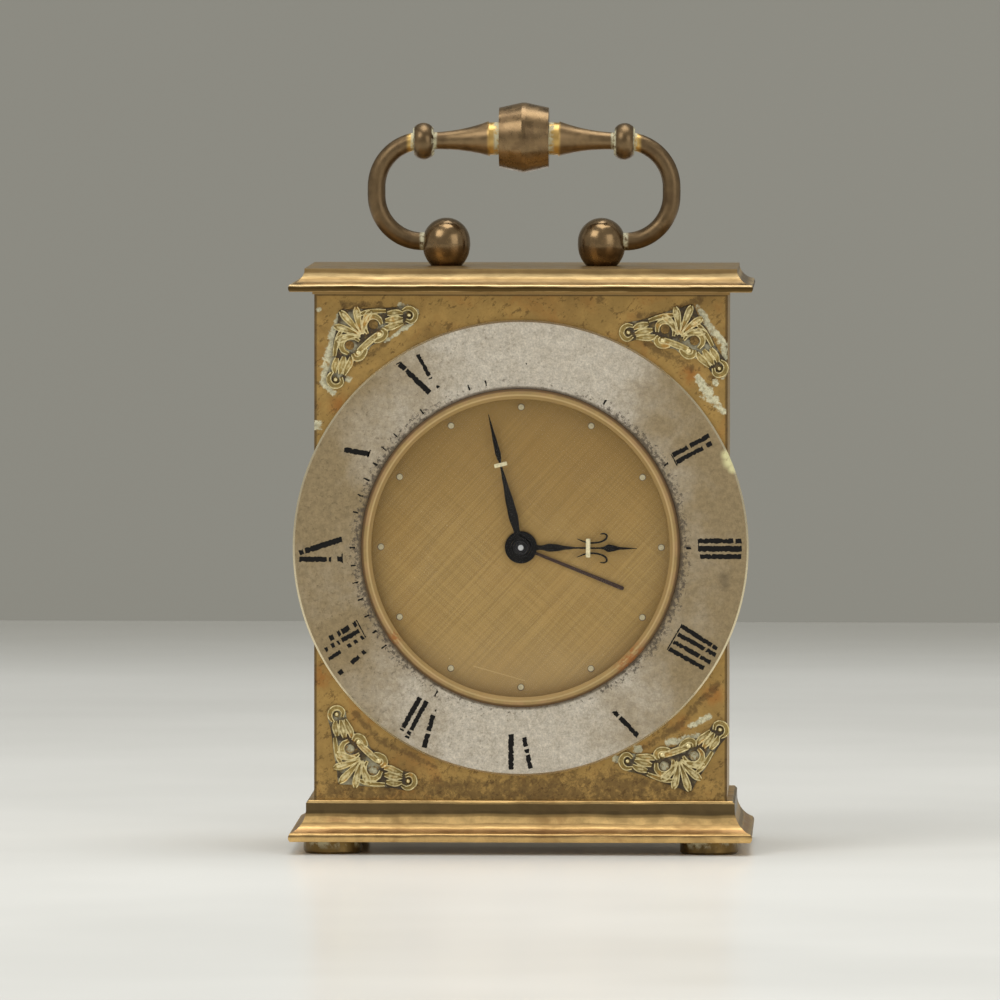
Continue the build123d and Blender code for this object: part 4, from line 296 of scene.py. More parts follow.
    def lay(self, mask, tone, strength=1.0):
        """Lays a tone over the colour where the mask is."""
        share = mask if strength == 1.0 else self.times(mask, strength)
        self.colour = self.blend(share, self.colour, tone)

    def deposit(self, mask, tone, strength=1.0):
        """Lays a dull deposit over the metal where the mask is."""
        share = self.times(mask, strength)
        self.lay(share, tone)
        self.roughness = self.between(share, self.roughness, POLISH_ROUGHNESS)
        self.metallic = self.between(share, self.metallic, 0.0)

    def done(self):
        """The finished material."""
        self.put(self.inputs["Base Color"], self.colour)
        self.put(self.inputs["Roughness"], self.roughness)
        self.put(self.inputs["Metallic"], self.metallic)
        return self.material

    def give(self, *names):
        """Gives the finished material to CAD nodes."""
        material = self.done()
        for name in names:
            mesh = NODES[name].data
            mesh.materials.clear()
            mesh.materials.append(material)


def aged_metal(name, base, stain, rough=0.38, metallic=0.88, stain_grain=9.0, wear=1.0):
    """Old polished metal: broad stains, fine grain, pits and faint scratches."""
    metal = Finish(name, metallic=metallic)
    broad = metal.noise(stain_grain, detail=6, roughness=0.62, distortion=0.6)
    middle = metal.noise(stain_grain * 0.28, detail=5, roughness=0.6)
    metal.colour = metal.blend(metal.band(middle, 0.35, 0.68), tint(base, 0.9), tint(base, 1.14))
    metal.lay(metal.band(broad, 0.5, 0.72, 0.0, 0.75 * wear), stain)
    metal.lay(metal.patches(0.35, 0.42, 0.75, 0.0, 0.28, detail=3), tint(base, 0.62))
    pits = metal.patches(0.8, 0.66, 0.76, 0.0, wear, detail=5, roughness=0.7)
    metal.lay(pits, tint(stain, 0.55), 0.65)
    metal.roughness = metal.band(middle, 0.3, 0.75, rough - 0.06, rough + 0.12)
    scratches = metal.noise(0.22, detail=2, stretch=(14, 1, 1))
    metal.relief(metal.calc("SUBTRACT", metal.times(scratches, 0.35), pits), 0.03, 0.35)
    return metal


def coating(name, tones, grain, limits, rough, relief=None, specular=0.5, **look):
    """A dull coat in two tones. One noise parts the tones and gives the roughness and, where asked, the relief."""
    coat = Finish(name)
    mottle = coat.noise(grain, **look)
    coat.colour = coat.blend(coat.band(mottle, *limits), *tones)
    coat.roughness = coat.band(mottle, 0.3, 0.7, *rough)
    if relief:
        coat.relief(mottle, *relief)
    coat.inputs["Specular IOR Level"].default_value = specular
    return coat


# Modelling helpers


def pick_only(*objects):
    """Selects these objects alone and makes the first one active."""
    if bpy.context.object and bpy.context.object.mode != "OBJECT":
        bpy.ops.object.mode_set(mode="OBJECT")
    bpy.ops.object.select_all(action="DESELECT")
    for piece in objects:
        piece.select_set(True)
    bpy.context.view_layer.objects.active = objects[0] if objects else None


def join(pieces, name):
    """Joins pieces into one mesh object with a name."""
    pick_only(*pieces)
    if len(pieces) > 1:
        bpy.ops.object.join()
    joined = bpy.context.object
    joined.name = name
    joined.data.name = name
    return joined


def apply_modifiers(piece):
    """Applies a piece's modifiers in their order and leaves it active."""
    pick_only(piece)
    for modifier in list(piece.modifiers):
        bpy.ops.object.modifier_apply(modifier=modifier.name)


def bevel(piece, width, segments, smooth_angle):
    """Rounds a piece's edges and shades it smooth up to an angle."""
    edge = piece.modifiers.new("edge", "BEVEL")
    edge.width = width
    edge.segments = segments
    apply_modifiers(piece)
    bpy.ops.object.shade_smooth_by_angle(angle=math.radians(smooth_angle))


def move(piece, *steps):
    """Moves a piece's mesh by matrices, one after the other."""
    for step in steps:
        piece.data.transform(step)


def dress(piece, material, body, slot, *nodes):
    """Gives a finished piece its material and body, and hides the nodes that it stands for."""
    piece.data.materials.clear()
    piece.data.materials.append(material)
    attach(piece, body)
    if nodes:
        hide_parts(*nodes)


def mesh_from(curve):
    """A mesh object made from a curve."""
    piece = bpy.data.objects.new(curve.name, curve)
    bpy.context.collection.objects.link(piece)
    pick_only(piece)
    bpy.ops.object.convert(target="MESH")
    return bpy.context.object


def tube(points, radii):
    """A smooth round rod through points, with its own radius at each point."""
    curve = bpy.data.curves.new("rod", "CURVE")
    curve.dimensions = "3D"
    curve.bevel_depth = 1.0
    curve.bevel_resolution = 3
    curve.resolution_u = 6
    curve.use_fill_caps = True
    line = curve.splines.new("BEZIER")
    line.bezier_points.add(len(points) - 1)
    for knot, place, radius in zip(line.bezier_points, points, radii):
        knot.co = place
        knot.radius = radius
        knot.handle_left_type = "AUTO"
        knot.handle_right_type = "AUTO"
    return mesh_from(curve)


def plate(outlines, thickness, name):
    """A flat plate in the dial's plane from outlines, the later ones cut as holes; its back is at zero depth."""
    curve = bpy.data.curves.new(name, "CURVE")
    curve.dimensions = "2D"
    curve.fill_mode = "BOTH"
    curve.extrude = thickness / 2
    for outline in outlines:
        line = curve.splines.new("POLY")
        line.points.add(len(outline) - 1)
        line.use_cyclic_u = True
        for knot, (x, z) in zip(line.points, outline):
            knot.co = (x, z, 0, 1)
    piece = mesh_from(curve)
    move(piece, Matrix.Rotation(math.radians(90), 4, "X"), Matrix.Translation((0, -thickness / 2, 0)))
    return piece


def circle(x, z, radius, steps):
    """The outline of a circle."""
    turns = [2 * math.pi * step / steps for step in range(steps)]
    return [(x + radius * math.cos(turn), z + radius * math.sin(turn)) for turn in turns]


def runs_of(path):
    """The direction of a path at each of its points."""
    ends = [path[0], *path, path[-1]]
    return [(after - before).normalized() for before, after in zip(ends, ends[2:])]


def smooth_outline(points, steps):
    """A closed outline that runs smoothly through points."""
    outline = []
    count = len(points)
    for index in range(count):
        before, start, end, after = (Vector(points[(index + shift) % count]) for shift in (-1, 0, 1, 2))
        for step in range(steps):
            share = step / steps
            cubic = 2 * start + (end - before) * share
            cubic += (2 * before - 5 * start + 4 * end - after) * share**2
            cubic += (3 * start - before - 3 * end + after) * share**3
            outline.append(tuple(0.5 * cubic))
    return outline


class ClockOperator(bpy.types.Operator):
    """Shared settings of the clock's operators."""

    bl_options = {"REGISTER", "UNDO"}

    @property
    def colours(self):
        return bpy.context.scene.clock_colours

    @property
    def sizes(self):
        return bpy.context.scene.clock_sizes


# Dried polish on the front panel: lines of x and z from the dial's centre and half widths, then round spots, in
# millimetres
PANEL_RESIDUE = (
    (((-27.6, 35.6), (-28.6, 32.8), (-29.5, 28.6), (-29.9, 25.2), (-28.6, 23.7)), (0.35, 0.62, 0.72, 0.7, 0.5)),
    (((-18.4, 37.0), (-16.0, 35.8), (-16.8, 34.1), (-20.7, 31.4)), (0.45, 0.5, 0.45, 0.22)),
    (((26.9, 36.8), (29.1, 33.4), (31.0, 31.0), (30.8, 26.3)), (0.35, 0.6, 0.5, 0.45)),
    (((26.9, 26.1), (28.2, 23.9), (30.7, 20.9)), (0.4, 0.85, 0.5)),
    (((22.6, -29.6), (27.2, -28.8)), (0.5, 0.5)),
    (((25.9, -27.2), (28.7, -25.7)), (0.4, 0.45)),
)
PANEL_RESIDUE_SPOTS = (
    (-26.4, 25.7, 0.8), (29.6, 25.3, 0.8), (-30.8, 36.3, 0.6), (-31.1, 18.6, 1.1), (14.6, -32.2, 0.8),
    (17.9, -30.7, 0.9),
    (21.9, -33.1, 1.2), (26.6, -31.6, 1.2), (-25.9, -30.6, 1.0), (-22.5, -34.0, 1.0),
)
# Painted shade beside the castings, under the ring and inside the castings' holes, with some darker stains
PANEL_SHADOWS = (
    (((-27.0, 36.9), (-21.6, 36.9)), (0.6, 0.6)),
    (((-20.2, 31.4), (-25.2, 28.0)), (0.35, 0.45)),
    (((18.2, 35.4), (22.1, 35.7), (27.5, 38.1)), (0.5, 0.6, 0.7)),
    (((19.1, 31.2), (26.0, 27.5)), (0.55, 0.6)),
    (((-14.0, -36.6), (0.0, -37.6), (16.0, -36.6), (25.0, -37.4)), (1.6, 2.4, 2.2, 1.4)),
    (((-29.0, -37.0), (-20.0, -37.4)), (1.0, 1.2)),
    (((-25.4, -25.4), (-22.0, -29.0), (-13.0, -33.6)), (0.5, 0.6, 0.4)),
    (((29.8, -21.0), (24.4, -27.0), (18.0, -31.0)), (0.6, 0.6, 0.4)),
)
PANEL_SHADOW_SPOTS = (
    (29.0, 25.9, 1.0), (12.3, 37.8, 1.2), (-26.0, 31.0, 1.3), (-22.5, 34.1, 1.3), (22.3, 33.4, 1.3),
    (26.6, 31.7, 1.3),
)
# Coppery patches where the finish is thin
PANEL_COPPER = ((25.8, 26.4, 1.7), (-27.4, 21.6, 2.0), (-30.6, -19.8, 2.0), (29.4, -22.4, 1.8),
(24.6, -26.8, 1.4))
# Painted reflections, highlights and shade along the mouldings, with some stains: lower and upper height above the
# piece's foot in millimetres, strength and tone
PLINTH_STRIPS = (
    (4.1, 5.8, 0.9, (72, 60, 40)), (5.75, 6.1, 0.85, (104, 86, 54)), (0.84, 1.1, 0.7, (84, 60, 34)),
    (1.4, 2.0, 0.55, (150, 106, 70)), (3.75, 4.2, 0.7, (128, 106, 66)), (2.2, 2.8, 0.75, (130, 104, 64)),
)
CORNICE_STRIPS = (
    (0.56, 1.3, 0.95, (72, 54, 24)), (1.38, 1.54, 0.85, (226, 200, 150)), (0.05, 0.45, 0.7, (150, 120, 72)),
    (3.3, 3.7, 0.5, (128, 104, 66)), (2.6, 3.15, 0.75, (210, 182, 130)), (1.7, 2.4, 0.8, (104, 84, 52)),
)
STRIP_SOFTNESS = 0.12


class CLOCK_OT_case_finish(ClockOperator):
    """Aged brass for the case, mouldings and feet"""

    bl_idname = "clock.case_finish"
    bl_label = "Finish the case"

    def execute(self, context):
        colours = self.colours
        stain = colours.brass_stain
        self.front_panel(colours)
        shell = aged_metal("case_brass", colours.case_brass, stain, stain_grain=14, wear=0.8)
        shell.give("case_shell", "back_panel", "corner_pillars")
        self.mouldings(colours)
        self.feet(colours)
        screws = aged_metal("screw_brass", tint(colours.moulding_brass, 0.8), stain, rough=0.3, stain_grain=4)
        screws.give("case_screws", "post_nuts", "movement_screws")
        return {"FINISHED"}

    def front_panel(self, colours):
        """Stained brass with coppery patches, painted shade with some darker stains, marks, painted shade along its
        edges and dried polish.
        """
        base, stain, residue = tint(colours.case_brass, 0.9), colours.brass_stain, colours.residue
        panel = aged_metal("panel_brass", base, stain, rough=0.4, metallic=0.8, stain_grain=11, wear=0.75)
        copper = panel.patches(6.0, 0.52, 0.7, 0.0, 0.35, detail=5, roughness=0.65, distortion=0.8)
        thin = panel.times(panel.spots(PANEL_COPPER), panel.patches(1.0, 0.35, 0.6, 0.2, 0.8, detail=5))
        panel.lay(panel.most(copper, thin), shade(158, 106, 52))
        # painted shade, with some darker stains, from the trails and spots of PANEL_SHADOWS
        dark = panel.torn(panel.field(PANEL_SHADOWS, PANEL_SHADOW_SPOTS), 1.1, 0.42, 0.6, 2.8)
        panel.lay(dark, shade(82, 62, 40), 0.62)
        low = panel.band(panel.z, PANEL_LOW.z + 8.0, PANEL_LOW.z + 1.0)
        specks = panel.times(low, panel.patches(0.7, 0.5, 0.62, detail=6, roughness=0.78))
        panel.lay(specks, shade(88, 70, 44), 0.55)
        marks = panel.patches(1.2, 0.54, 0.62, 0.0, 0.6, detail=6, roughness=0.78, stretch=(1.6, 1, 1), turn=40)
        panel.lay(marks, shade(80, 58, 34))
        # painted shade along the panel's rounded left and right edges and under the cornice
        edge = panel.band(panel.aside(), PANEL_HIGH.x - 0.5, PANEL_HIGH.x - 0.25)
        edge = panel.most(edge, panel.band(panel.z, PANEL_HIGH.z - 0.32, PANEL_HIGH.z - 0.16))
        panel.lay(edge, shade(70, 56, 38), 0.7)
        pale = panel.torn(panel.field(PANEL_RESIDUE, PANEL_RESIDUE_SPOTS), 0.9, 0.5, 0.3, 2.2)
        mottle = panel.patches(0.45, 0.38, 0.62, detail=5, roughness=0.7)
        panel.deposit(pale, panel.blend(mottle, tint(residue, 0.62), tint(residue, 1.04)), 0.88)
        panel.give("front_panel")

    def mouldings(self, colours):
        """Brighter brass with painted reflections, highlights and shade, and some stains, in strips that run along the
        profile.
        """
        base, stain = colours.moulding_brass, shade(152, 118, 72)
        brass = aged_metal("moulding_brass", base, stain, rough=0.34, metallic=0.92, stain_grain=8, wear=0.95)
        rust = brass.patches(3.0, 0.56, 0.72, 0.0, 0.5, detail=5, roughness=0.66, stretch=(3, 1, 1))
        brass.lay(rust, shade(150, 104, 66))
        foot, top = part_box("plinth")[0].z / MM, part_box("cornice")[0].z / MM
        brass.lay(brass.band(brass.z, top - 1.0, top, 0.0, 0.75), shade(136, 112, 74))
        wander = brass.times(brass.calc("SUBTRACT", brass.noise(2.0, stretch=(4, 4, 1)), 0.5), 0.7)
        height = brass.calc("ADD", brass.z, wander)
        # painted reflections, highlights and shade, with some stains, in strips along the profile
        for level, strips in ((foot, PLINTH_STRIPS), (top, CORNICE_STRIPS)):
            for low, high, strength, tone in strips:
                strip = brass.strip(height, level + low, level + high, STRIP_SOFTNESS)
                brass.lay(strip, shade(*tone), strength)
        brass.give("plinth", "cornice")

    def feet(self, colours):
        """Dark brass with dried polish above the table."""
        brass = aged_metal("foot_brass", tint(colours.case_brass, 0.4), shade(60, 48, 32), rough=0.36, stain_grain=5)
        upper = brass.band(brass.z, 0.6, 1.6)
        pale = brass.times(upper, brass.patches(2.2, 0.44, 0.6, detail=5, roughness=0.65))
        brass.deposit(pale, colours.residue, 0.75)
        brass.give("feet")


# Each piece of the handle: name of its bronze, roughness and how deep its colour is
HANDLE_BRONZES = {
    "handle_grip": ("grip_bronze", 0.27, 1.0),
    "handle_collars": ("collar_bronze", 0.34, 0.75),
    "handle_sleeves": ("sleeve_bronze", 0.36, 0.95),
    "handle_arms": ("arm_bronze", 0.38, 0.72),
    "handle_posts": ("ball_bronze", 0.21, 1.02),
}


class CLOCK_OT_handle_finish(ClockOperator):
    """Brown bronze for the handle, with bright brass necks and pale polish in the joints"""

    bl_idname = "clock.handle_finish"
    bl_label = "Finish the handle"

    def execute(self, context):
        colours = self.colours
        for node, (name, rough, deep) in HANDLE_BRONZES.items():
            base, stain = tint(colours.bronze, deep), shade(78, 60, 42)
            bronze = aged_metal(name, base, stain, rough=rough, metallic=0.9, stain_grain=5, wear=0.7)
            bronze.lay(bronze.patches(2.6, 0.58, 0.75, 0.0, 0.5), tint(colours.bronze, 1.35))
            ragged = bronze.patches(0.8, 0.36, 0.56, roughness=0.65)
            bronze.deposit(bronze.times(self.joints(node, bronze), ragged), colours.residue, 0.9)
            bronze.give(node)
        return {"FINISHED"}

    def joints(self, node, bronze):
        """Lays the brass or dark ends of one piece of the handle, and says where polish has dried on it."""
        out, brass = bronze.aside(), shade(192, 158, 92)
        grip_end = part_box("handle_grip")[1].x / MM
        sleeve_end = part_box("handle_sleeves")[1].x / MM
        collar_low, collar_high = in_mm(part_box("handle_collars"))
        ball_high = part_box("handle_posts")[1] / MM
        if node == "handle_sleeves":
            bronze.lay(bronze.band(out, grip_end + 2.0, grip_end + 1.4, 0.0, 0.9), brass)
            wide_end = bronze.band(out, grip_end + 1.0, grip_end + 0.5)
            return bronze.most(wide_end, bronze.band(out, sleeve_end - 0.7, sleeve_end - 0.3))
        if node == "handle_arms":
            high = bronze.band(bronze.z, collar_low.z, collar_low.z + 0.8)
            collar_side = bronze.times(high, bronze.band(out, collar_high.x + 1.2, collar_high.x + 0.4))
            bronze.lay(collar_side, brass)
            low = bronze.band(bronze.z, ball_high.z, ball_high.z - 1.0)
            ball_side = bronze.times(bronze.band(out, ball_high.x + 0.7, ball_high.x + 0.2), low)
            rim = bronze.band(out, collar_high.x + 0.5, collar_high.x + 0.15)
            return bronze.most(ball_side, bronze.times(rim, collar_side))
        if node == "handle_collars":
            middle = (collar_high.x + sleeve_end) / 2
            edge = bronze.calc("ABSOLUTE", bronze.calc("SUBTRACT", out, middle))
            return bronze.band(edge, 1.2, 1.5)
        if node == "handle_posts":
            bronze.lay(bronze.band(bronze.z, ball_high.z - 6.2, ball_high.z - 7.4), shade(90, 66, 40))
        return 0.0


class CLOCK_OT_dial_finish(ClockOperator):
    """Silvered ring, gold dial, bezel, crystal and lume dots"""

    bl_idname = "clock.dial_finish"
    bl_label = "Finish the dial"

    def execute(self, context):
        colours = self.colours
        self.ring(colours)
        self.dial(colours)
        self.bezel(colours)
        self.crystal()
        self.dots(colours)
        return {"FINISHED"}

    def ring(self, colours):
        """Rubbed silver over brass: speckled and cloudily tarnished, with painted shade at both sides, dirt towards
        the dial and a painted highlight on its outer edge.
        """
        silver, tarnish_and_shade = colours.silver, colours.tarnish_and_shade
        ring = Finish("ring_silver")
        radius, out = ring.distance(), ring.aside()
        broad = ring.noise(10, detail=5, roughness=0.6)
        fine = ring.noise(0.55, detail=5, roughness=0.7)
        grain = ring.noise(0.3, detail=5, roughness=0.75)
        ring.colour = ring.blend(ring.band(grain, 0.3, 0.7), tint(silver, 0.76), tint(silver, 1.14))
        # painted shade: the ring's left and right sides are darkened with the olive colour, standing in for their
        # darker reflection
        sides = ring.calc("ADD", ring.band(out, 2, 33, 0.0, 0.95), ring.band(broad, 0.3, 0.7, -0.2, 0.2))
        ring.lay(ring.band(sides, 0.05, 0.95), tarnish_and_shade)
        cloud = ring.patches(2.4, 0.36, 0.64, 0.0, 0.2, detail=6, roughness=0.72, distortion=0.3)
        ring.lay(cloud, tint(tarnish_and_shade, 0.8))
        specks = ring.band(fine, 0.54, 0.68)
        left = ring.band(ring.x, 14, -20, 0.25, 0.8)
        ring.lay(ring.times(specks, left), shade(92, 80, 58), 0.55)
        inner = ring.times(ring.band(radius, 27.6, 24.5), ring.band(out, 4, 20, 0.45, 1.0))
        dirt = ring.calc("ADD", ring.noise(0.55, detail=6, roughness=0.8), ring.times(inner, 0.21))
        worn = ring.band(dirt, 0.66, 0.73)
        ring.lay(worn, shade(66, 55, 42), 0.82)
        ring.lay(ring.band(radius, 24.85, 24.5, 0.0, 0.7), shade(84, 68, 46))
        ring.lay(ring.spots(((31.0, -4.6, 1.2), (31.2, -5.6, 0.9))), shade(92, 80, 60), 0.45)
        mottle = ring.patches(0.9, 0.36, 0.64, 0.86, 1.13, detail=6, roughness=0.75)
        ring.colour = ring.vector("MULTIPLY", ring.colour, mottle).outputs[0]
        # painted highlight: a bright line along the ring's outer edge
        edge = ring.band(radius, RING_RADIUS - 0.34, RING_RADIUS - 0.24)
        ring.lay(edge, shade(212, 200, 168), 0.75)
        ring.relief(ring.calc("SUBTRACT", ring.times(grain, 0.3), specks), 0.02, 0.3)
        ring.roughness = ring.between(edge, ring.band(fine, 0.3, 0.7, 0.4, 0.55), 0.25)
        ring.metallic = ring.between(worn, 0.8, 0.2)
        blot = ring.spots(((31.4, 14.2, 0.9), (31.8, 13.2, 1.1), (32.3, 12.2, 0.8)))
        ring.deposit(ring.times(blot, ring.patches(0.6, 0.2, 0.4, detail=3)), shade(206, 200, 150))
        ring.give("chapter_ring")

    def dial(self, colours):
        """Gold brushed both ways, with painted shade over its upper part and towards its rim, painted light over its
        lower part, and one long scratch.
        """
        gold = colours.dial_gold
        dial = Finish("dial_gold", metallic=0.75)
        strokes = dial.noise(0.3, roughness=0.7, stretch=(60, 1, 1), turn=47)
        crossed = dial.noise(0.24, detail=3, roughness=0.6, stretch=(40, 1, 1), turn=-41)
        brushed = dial.calc("ADD", dial.times(strokes, 0.65), dial.times(crossed, 0.35))
        dial.colour = dial.blend(dial.band(brushed, 0.38, 0.62), tint(gold, 0.84), tint(gold, 1.13))
        dial.lay(dial.patches(13, 0.4, 0.7, 0.0, 0.25), shade(156, 120, 64))
        # painted shade over the upper part of the dial and towards its rim, painted light over its lower part
        dial.lay(dial.band(dial.z, DIAL_Z - 6, DIAL_Z + 18, 0.0, 0.5), shade(134, 104, 56))
        dial.lay(dial.band(dial.distance(), 19.5, 24.0, 0.0, 0.3), tint(gold, 0.85))
        dial.lay(dial.band(dial.z, DIAL_Z - 10, DIAL_Z - 22, 0.0, 0.4), shade(182, 156, 112))
        dial.lay(dial.patches(0.5, 0.75, 0.8, 0.0, 0.6, detail=2), shade(214, 196, 150))
        scratch = dial.trail(((-7.2, -18.2), (0.6, -20.4)), (0.06, 0.04))
        dial.lay(scratch, shade(206, 180, 128), 0.5)
        dial.relief(brushed, 0.03, 0.4)
        dial.roughness = dial.band(brushed, 0.3, 0.7, 0.4, 0.55)
        dial.give("dial")

    def bezel(self, colours):
        """Dull brass with a painted highlight near its inner edge, a dark outer edge and a little rust."""
        gold, stain = colours.dial_gold, shade(132, 104, 62)
        bezel = aged_metal("bezel_brass", tint(gold, 0.82), stain, rough=0.62, metallic=0.3, stain_grain=8, wear=0.5)
        radius = bezel.distance()
        bezel.lay(bezel.patches(2.2, 0.42, 0.62, 0.0, 0.5, detail=5, roughness=0.65), shade(158, 122, 86))
        bezel.lay(bezel.band(radius, 23.3, 23.1, 0.0, 0.8), tint(gold, 0.92))
        # painted highlight: a thin pale line along the bezel's rounded face
        bezel.lay(bezel.strip(radius, 23.225, 23.475, 0.075), shade(210, 184, 130), 0.38)
        bezel.lay(bezel.band(radius, 23.8, 24.1, 0.0, 0.85), shade(84, 58, 30))
        rust = bezel.spots(((17.0, -16.2, 2.2), (15.6, -17.6, 1.4), (-19.0, -13.5, 1.2)))
        rust = bezel.times(rust, bezel.patches(0.9, 0.4, 0.58, detail=5, roughness=0.7))
        bezel.lay(rust, shade(150, 88, 32), 0.8)
        bezel.give("bezel")

    def crystal(self):
        """Thin clear glass with faint smears."""
        glass = Finish("crystal_glass", (0.3, 0.3, 0.28))
        glass.put(glass.inputs["Alpha"], glass.patches(5, 0.4, 0.8, 0.006, 0.02))
        glass.roughness = glass.patches(2, 0.4, 0.7, 0.04, 0.09, detail=3)
        glass.inputs["Specular IOR Level"].default_value = 0.6
        glass.give("crystal")

    def dots(self, colours):
        """Cream lume with painted shade round the rim of each dot."""
        tones = tint(colours.lume, 0.72), tint(colours.lume, 0.92)
        dots = coating("dot_lume", tones, 0.35, (0.35, 0.65), (0.55, 0.75), (0.03, 0.4), roughness=0.65)
        # each dot's own distance from its centre, on a circle of twelve
        across = dots.calc("SUBTRACT", dots.x, DIAL_X)
        hour = dots.calc("DIVIDE", dots.calc("ARCTAN2", across, dots.calc("SUBTRACT", dots.z, DIAL_Z)), HOUR_ANGLE)
        aside = dots.times(dots.calc("SUBTRACT", hour, dots.calc("ROUND", hour)), HOUR_ANGLE * DOT_CIRCLE)
        away = dots.calc("SUBTRACT", dots.distance(), DOT_CIRCLE)
        reach = dots.calc("SQRT", dots.calc("ADD", dots.times(aside, aside), dots.times(away, away)))
        # painted shade round each dot's edge
        dots.lay(dots.band(reach, 0.38, 0.48, 0.0, 0.9), shade(84, 60, 32))
        dots.give("hour_dots")


# Painted numerals. Each stroke lies in the frame of its hour: from (across, radius) to (across, radius), its width,
# then the worn gaps as shares of its length. Across grows clockwise. All in millimetres.
NUMERALS = {
    0: (((0.72, 28.1), (0.98, 28.1), 0.26, ()),),
    2: (
        ((-0.71, 27.1), (-0.54, 33.5), 0.66, ((0.42, 0.48),)), ((0.50, 27.0),
        (0.63, 33.3), 0.62, ((0.76, 0.84),)),
        ((-1.05, 27.05), (0.95, 26.95), 0.17, ()),
    ),
    3: (
        ((-1.14, 27.1), (-1.14, 33.7), 0.68, ((0.81, 0.86),)), ((0.06, 27.1), (0.06, 33.7), 0.78, ()),
        ((1.24, 27.3), (1.24, 33.7), 0.66, ()), ((-1.46, 27.1), (0.46, 27.1), 0.18, ()),
    ),
    4: (
        ((-2.03, 27.2), (-1.71, 33.6), 0.60, ((0.84, 0.88),)), ((-0.67, 27.3),
        (-0.79, 34.0), 0.62, ((0.70, 0.74),)),
        ((0.67, 27.3), (0.57, 33.8), 0.62, ((0.70, 0.725),)), ((1.96, 27.3), (1.86, 33.4), 0.62, ()),
        ((-2.30, 27.1), (2.32, 27.1), 0.2, ()),
    ),
    5: (((0.06, 28.8), (-1.2, 33.8), 0.66, ((0.18, 0.23),)), ((-0.35, 28.9), (0.45, 28.75), 0.3, ())),
    6: (
        ((1.42, 28.4), (1.42, 33.8), 0.72, ()), ((-0.55, 28.9), (-1.57, 33.7), 0.64, ((0.30, 0.36),
        (0.50, 0.55))),
    ),
    7: (
        ((1.82, 27.4), (1.80, 33.3), 0.68, ((0.90, 0.94),)), ((0.67, 27.4), (0.53, 33.9), 0.64, ((0.77, 0.81),
        (0.9, 0.93))),
        ((-1.2, 28.7), (-2.54, 33.8), 0.66, ((0.50, 0.57),)), ((-1.38, 27.95), (-1.12, 27.95), 0.32, ()),
    ),
    8: (
        ((2.52, 27.4), (2.52, 32.2), 0.76, ((0.12, 0.25), (0.56, 0.60), (0.70, 0.84))),
        ((1.31, 27.6), (1.36, 33.7), 0.66, ((0.50, 0.56), (0.64, 0.71), (0.80, 0.90))),
        ((0.2, 27.5), (-0.1, 33.9), 0.56, ((0.08, 0.18), (0.27, 0.36), (0.46, 0.64))),
        ((-1.82, 28.4), (-2.87, 33.7), 0.62, ((0.10, 0.22), (0.52, 0.84))),
        ((3.0, 27.2), (-0.1, 27.3), 0.18, ()),
    ),
    9: (
        ((1.30, 27.2), (-0.81, 33.75), 0.76, ((0.87, 0.90),)), ((-1.77, 27.2),
        (-1.77, 33.75), 0.70, ((0.12, 0.25), (0.31, 0.36))),
        ((-2.4, 27.2), (-0.9, 27.2), 0.2, ()),
    ),
    10: (((0.85, 27.1), (-0.54, 30.8), 0.72, ()), ((0.3, 27.1), (1.5, 27.3), 0.24, ())),
    11: (
        ((-0.21, 27.4), (-2.0, 33.6), 0.72, ((0.77, 0.79),)), ((1.02, 29.1), (1.14, 33.4), 0.56, ((0.06, 0.12),)),
        ((1.05, 27.5), (1.6, 27.7), 0.42, ()), ((-2.5, 33.7), (-1.7, 33.7), 0.2, ()),
    ),
}
MINUTE_TICKS = (5, 10, 15, 35, 39, 40, 41, 42, 43, 44, 45, 47, 48, 49, 50, 51, 52, 54, 57, 58)
# The ticks' inner and outer radius, widths, slip to either side and how much of the length is left
MINUTE_TICK = (25.2, 26.25)
TICK_WIDTH, HOUR_TICK_WIDTH = 0.3, 0.42
TICK_SLIP = 0.05
TICK_LEFT = (0.8, 1)
# Paint: how much wider a stroke is laid, the length of its smallest piece, the width up to which a narrow stroke is
# less ragged, how far its ends fall short or reach out, and the seed of its wear
PAINT_SPREAD = 1.28
PAINT_STEP = 0.22
PAINT_FULL_WIDTH = 0.5
PAINT_ENDS = (-0.12, 0.05)
PAINT_SEED = 7


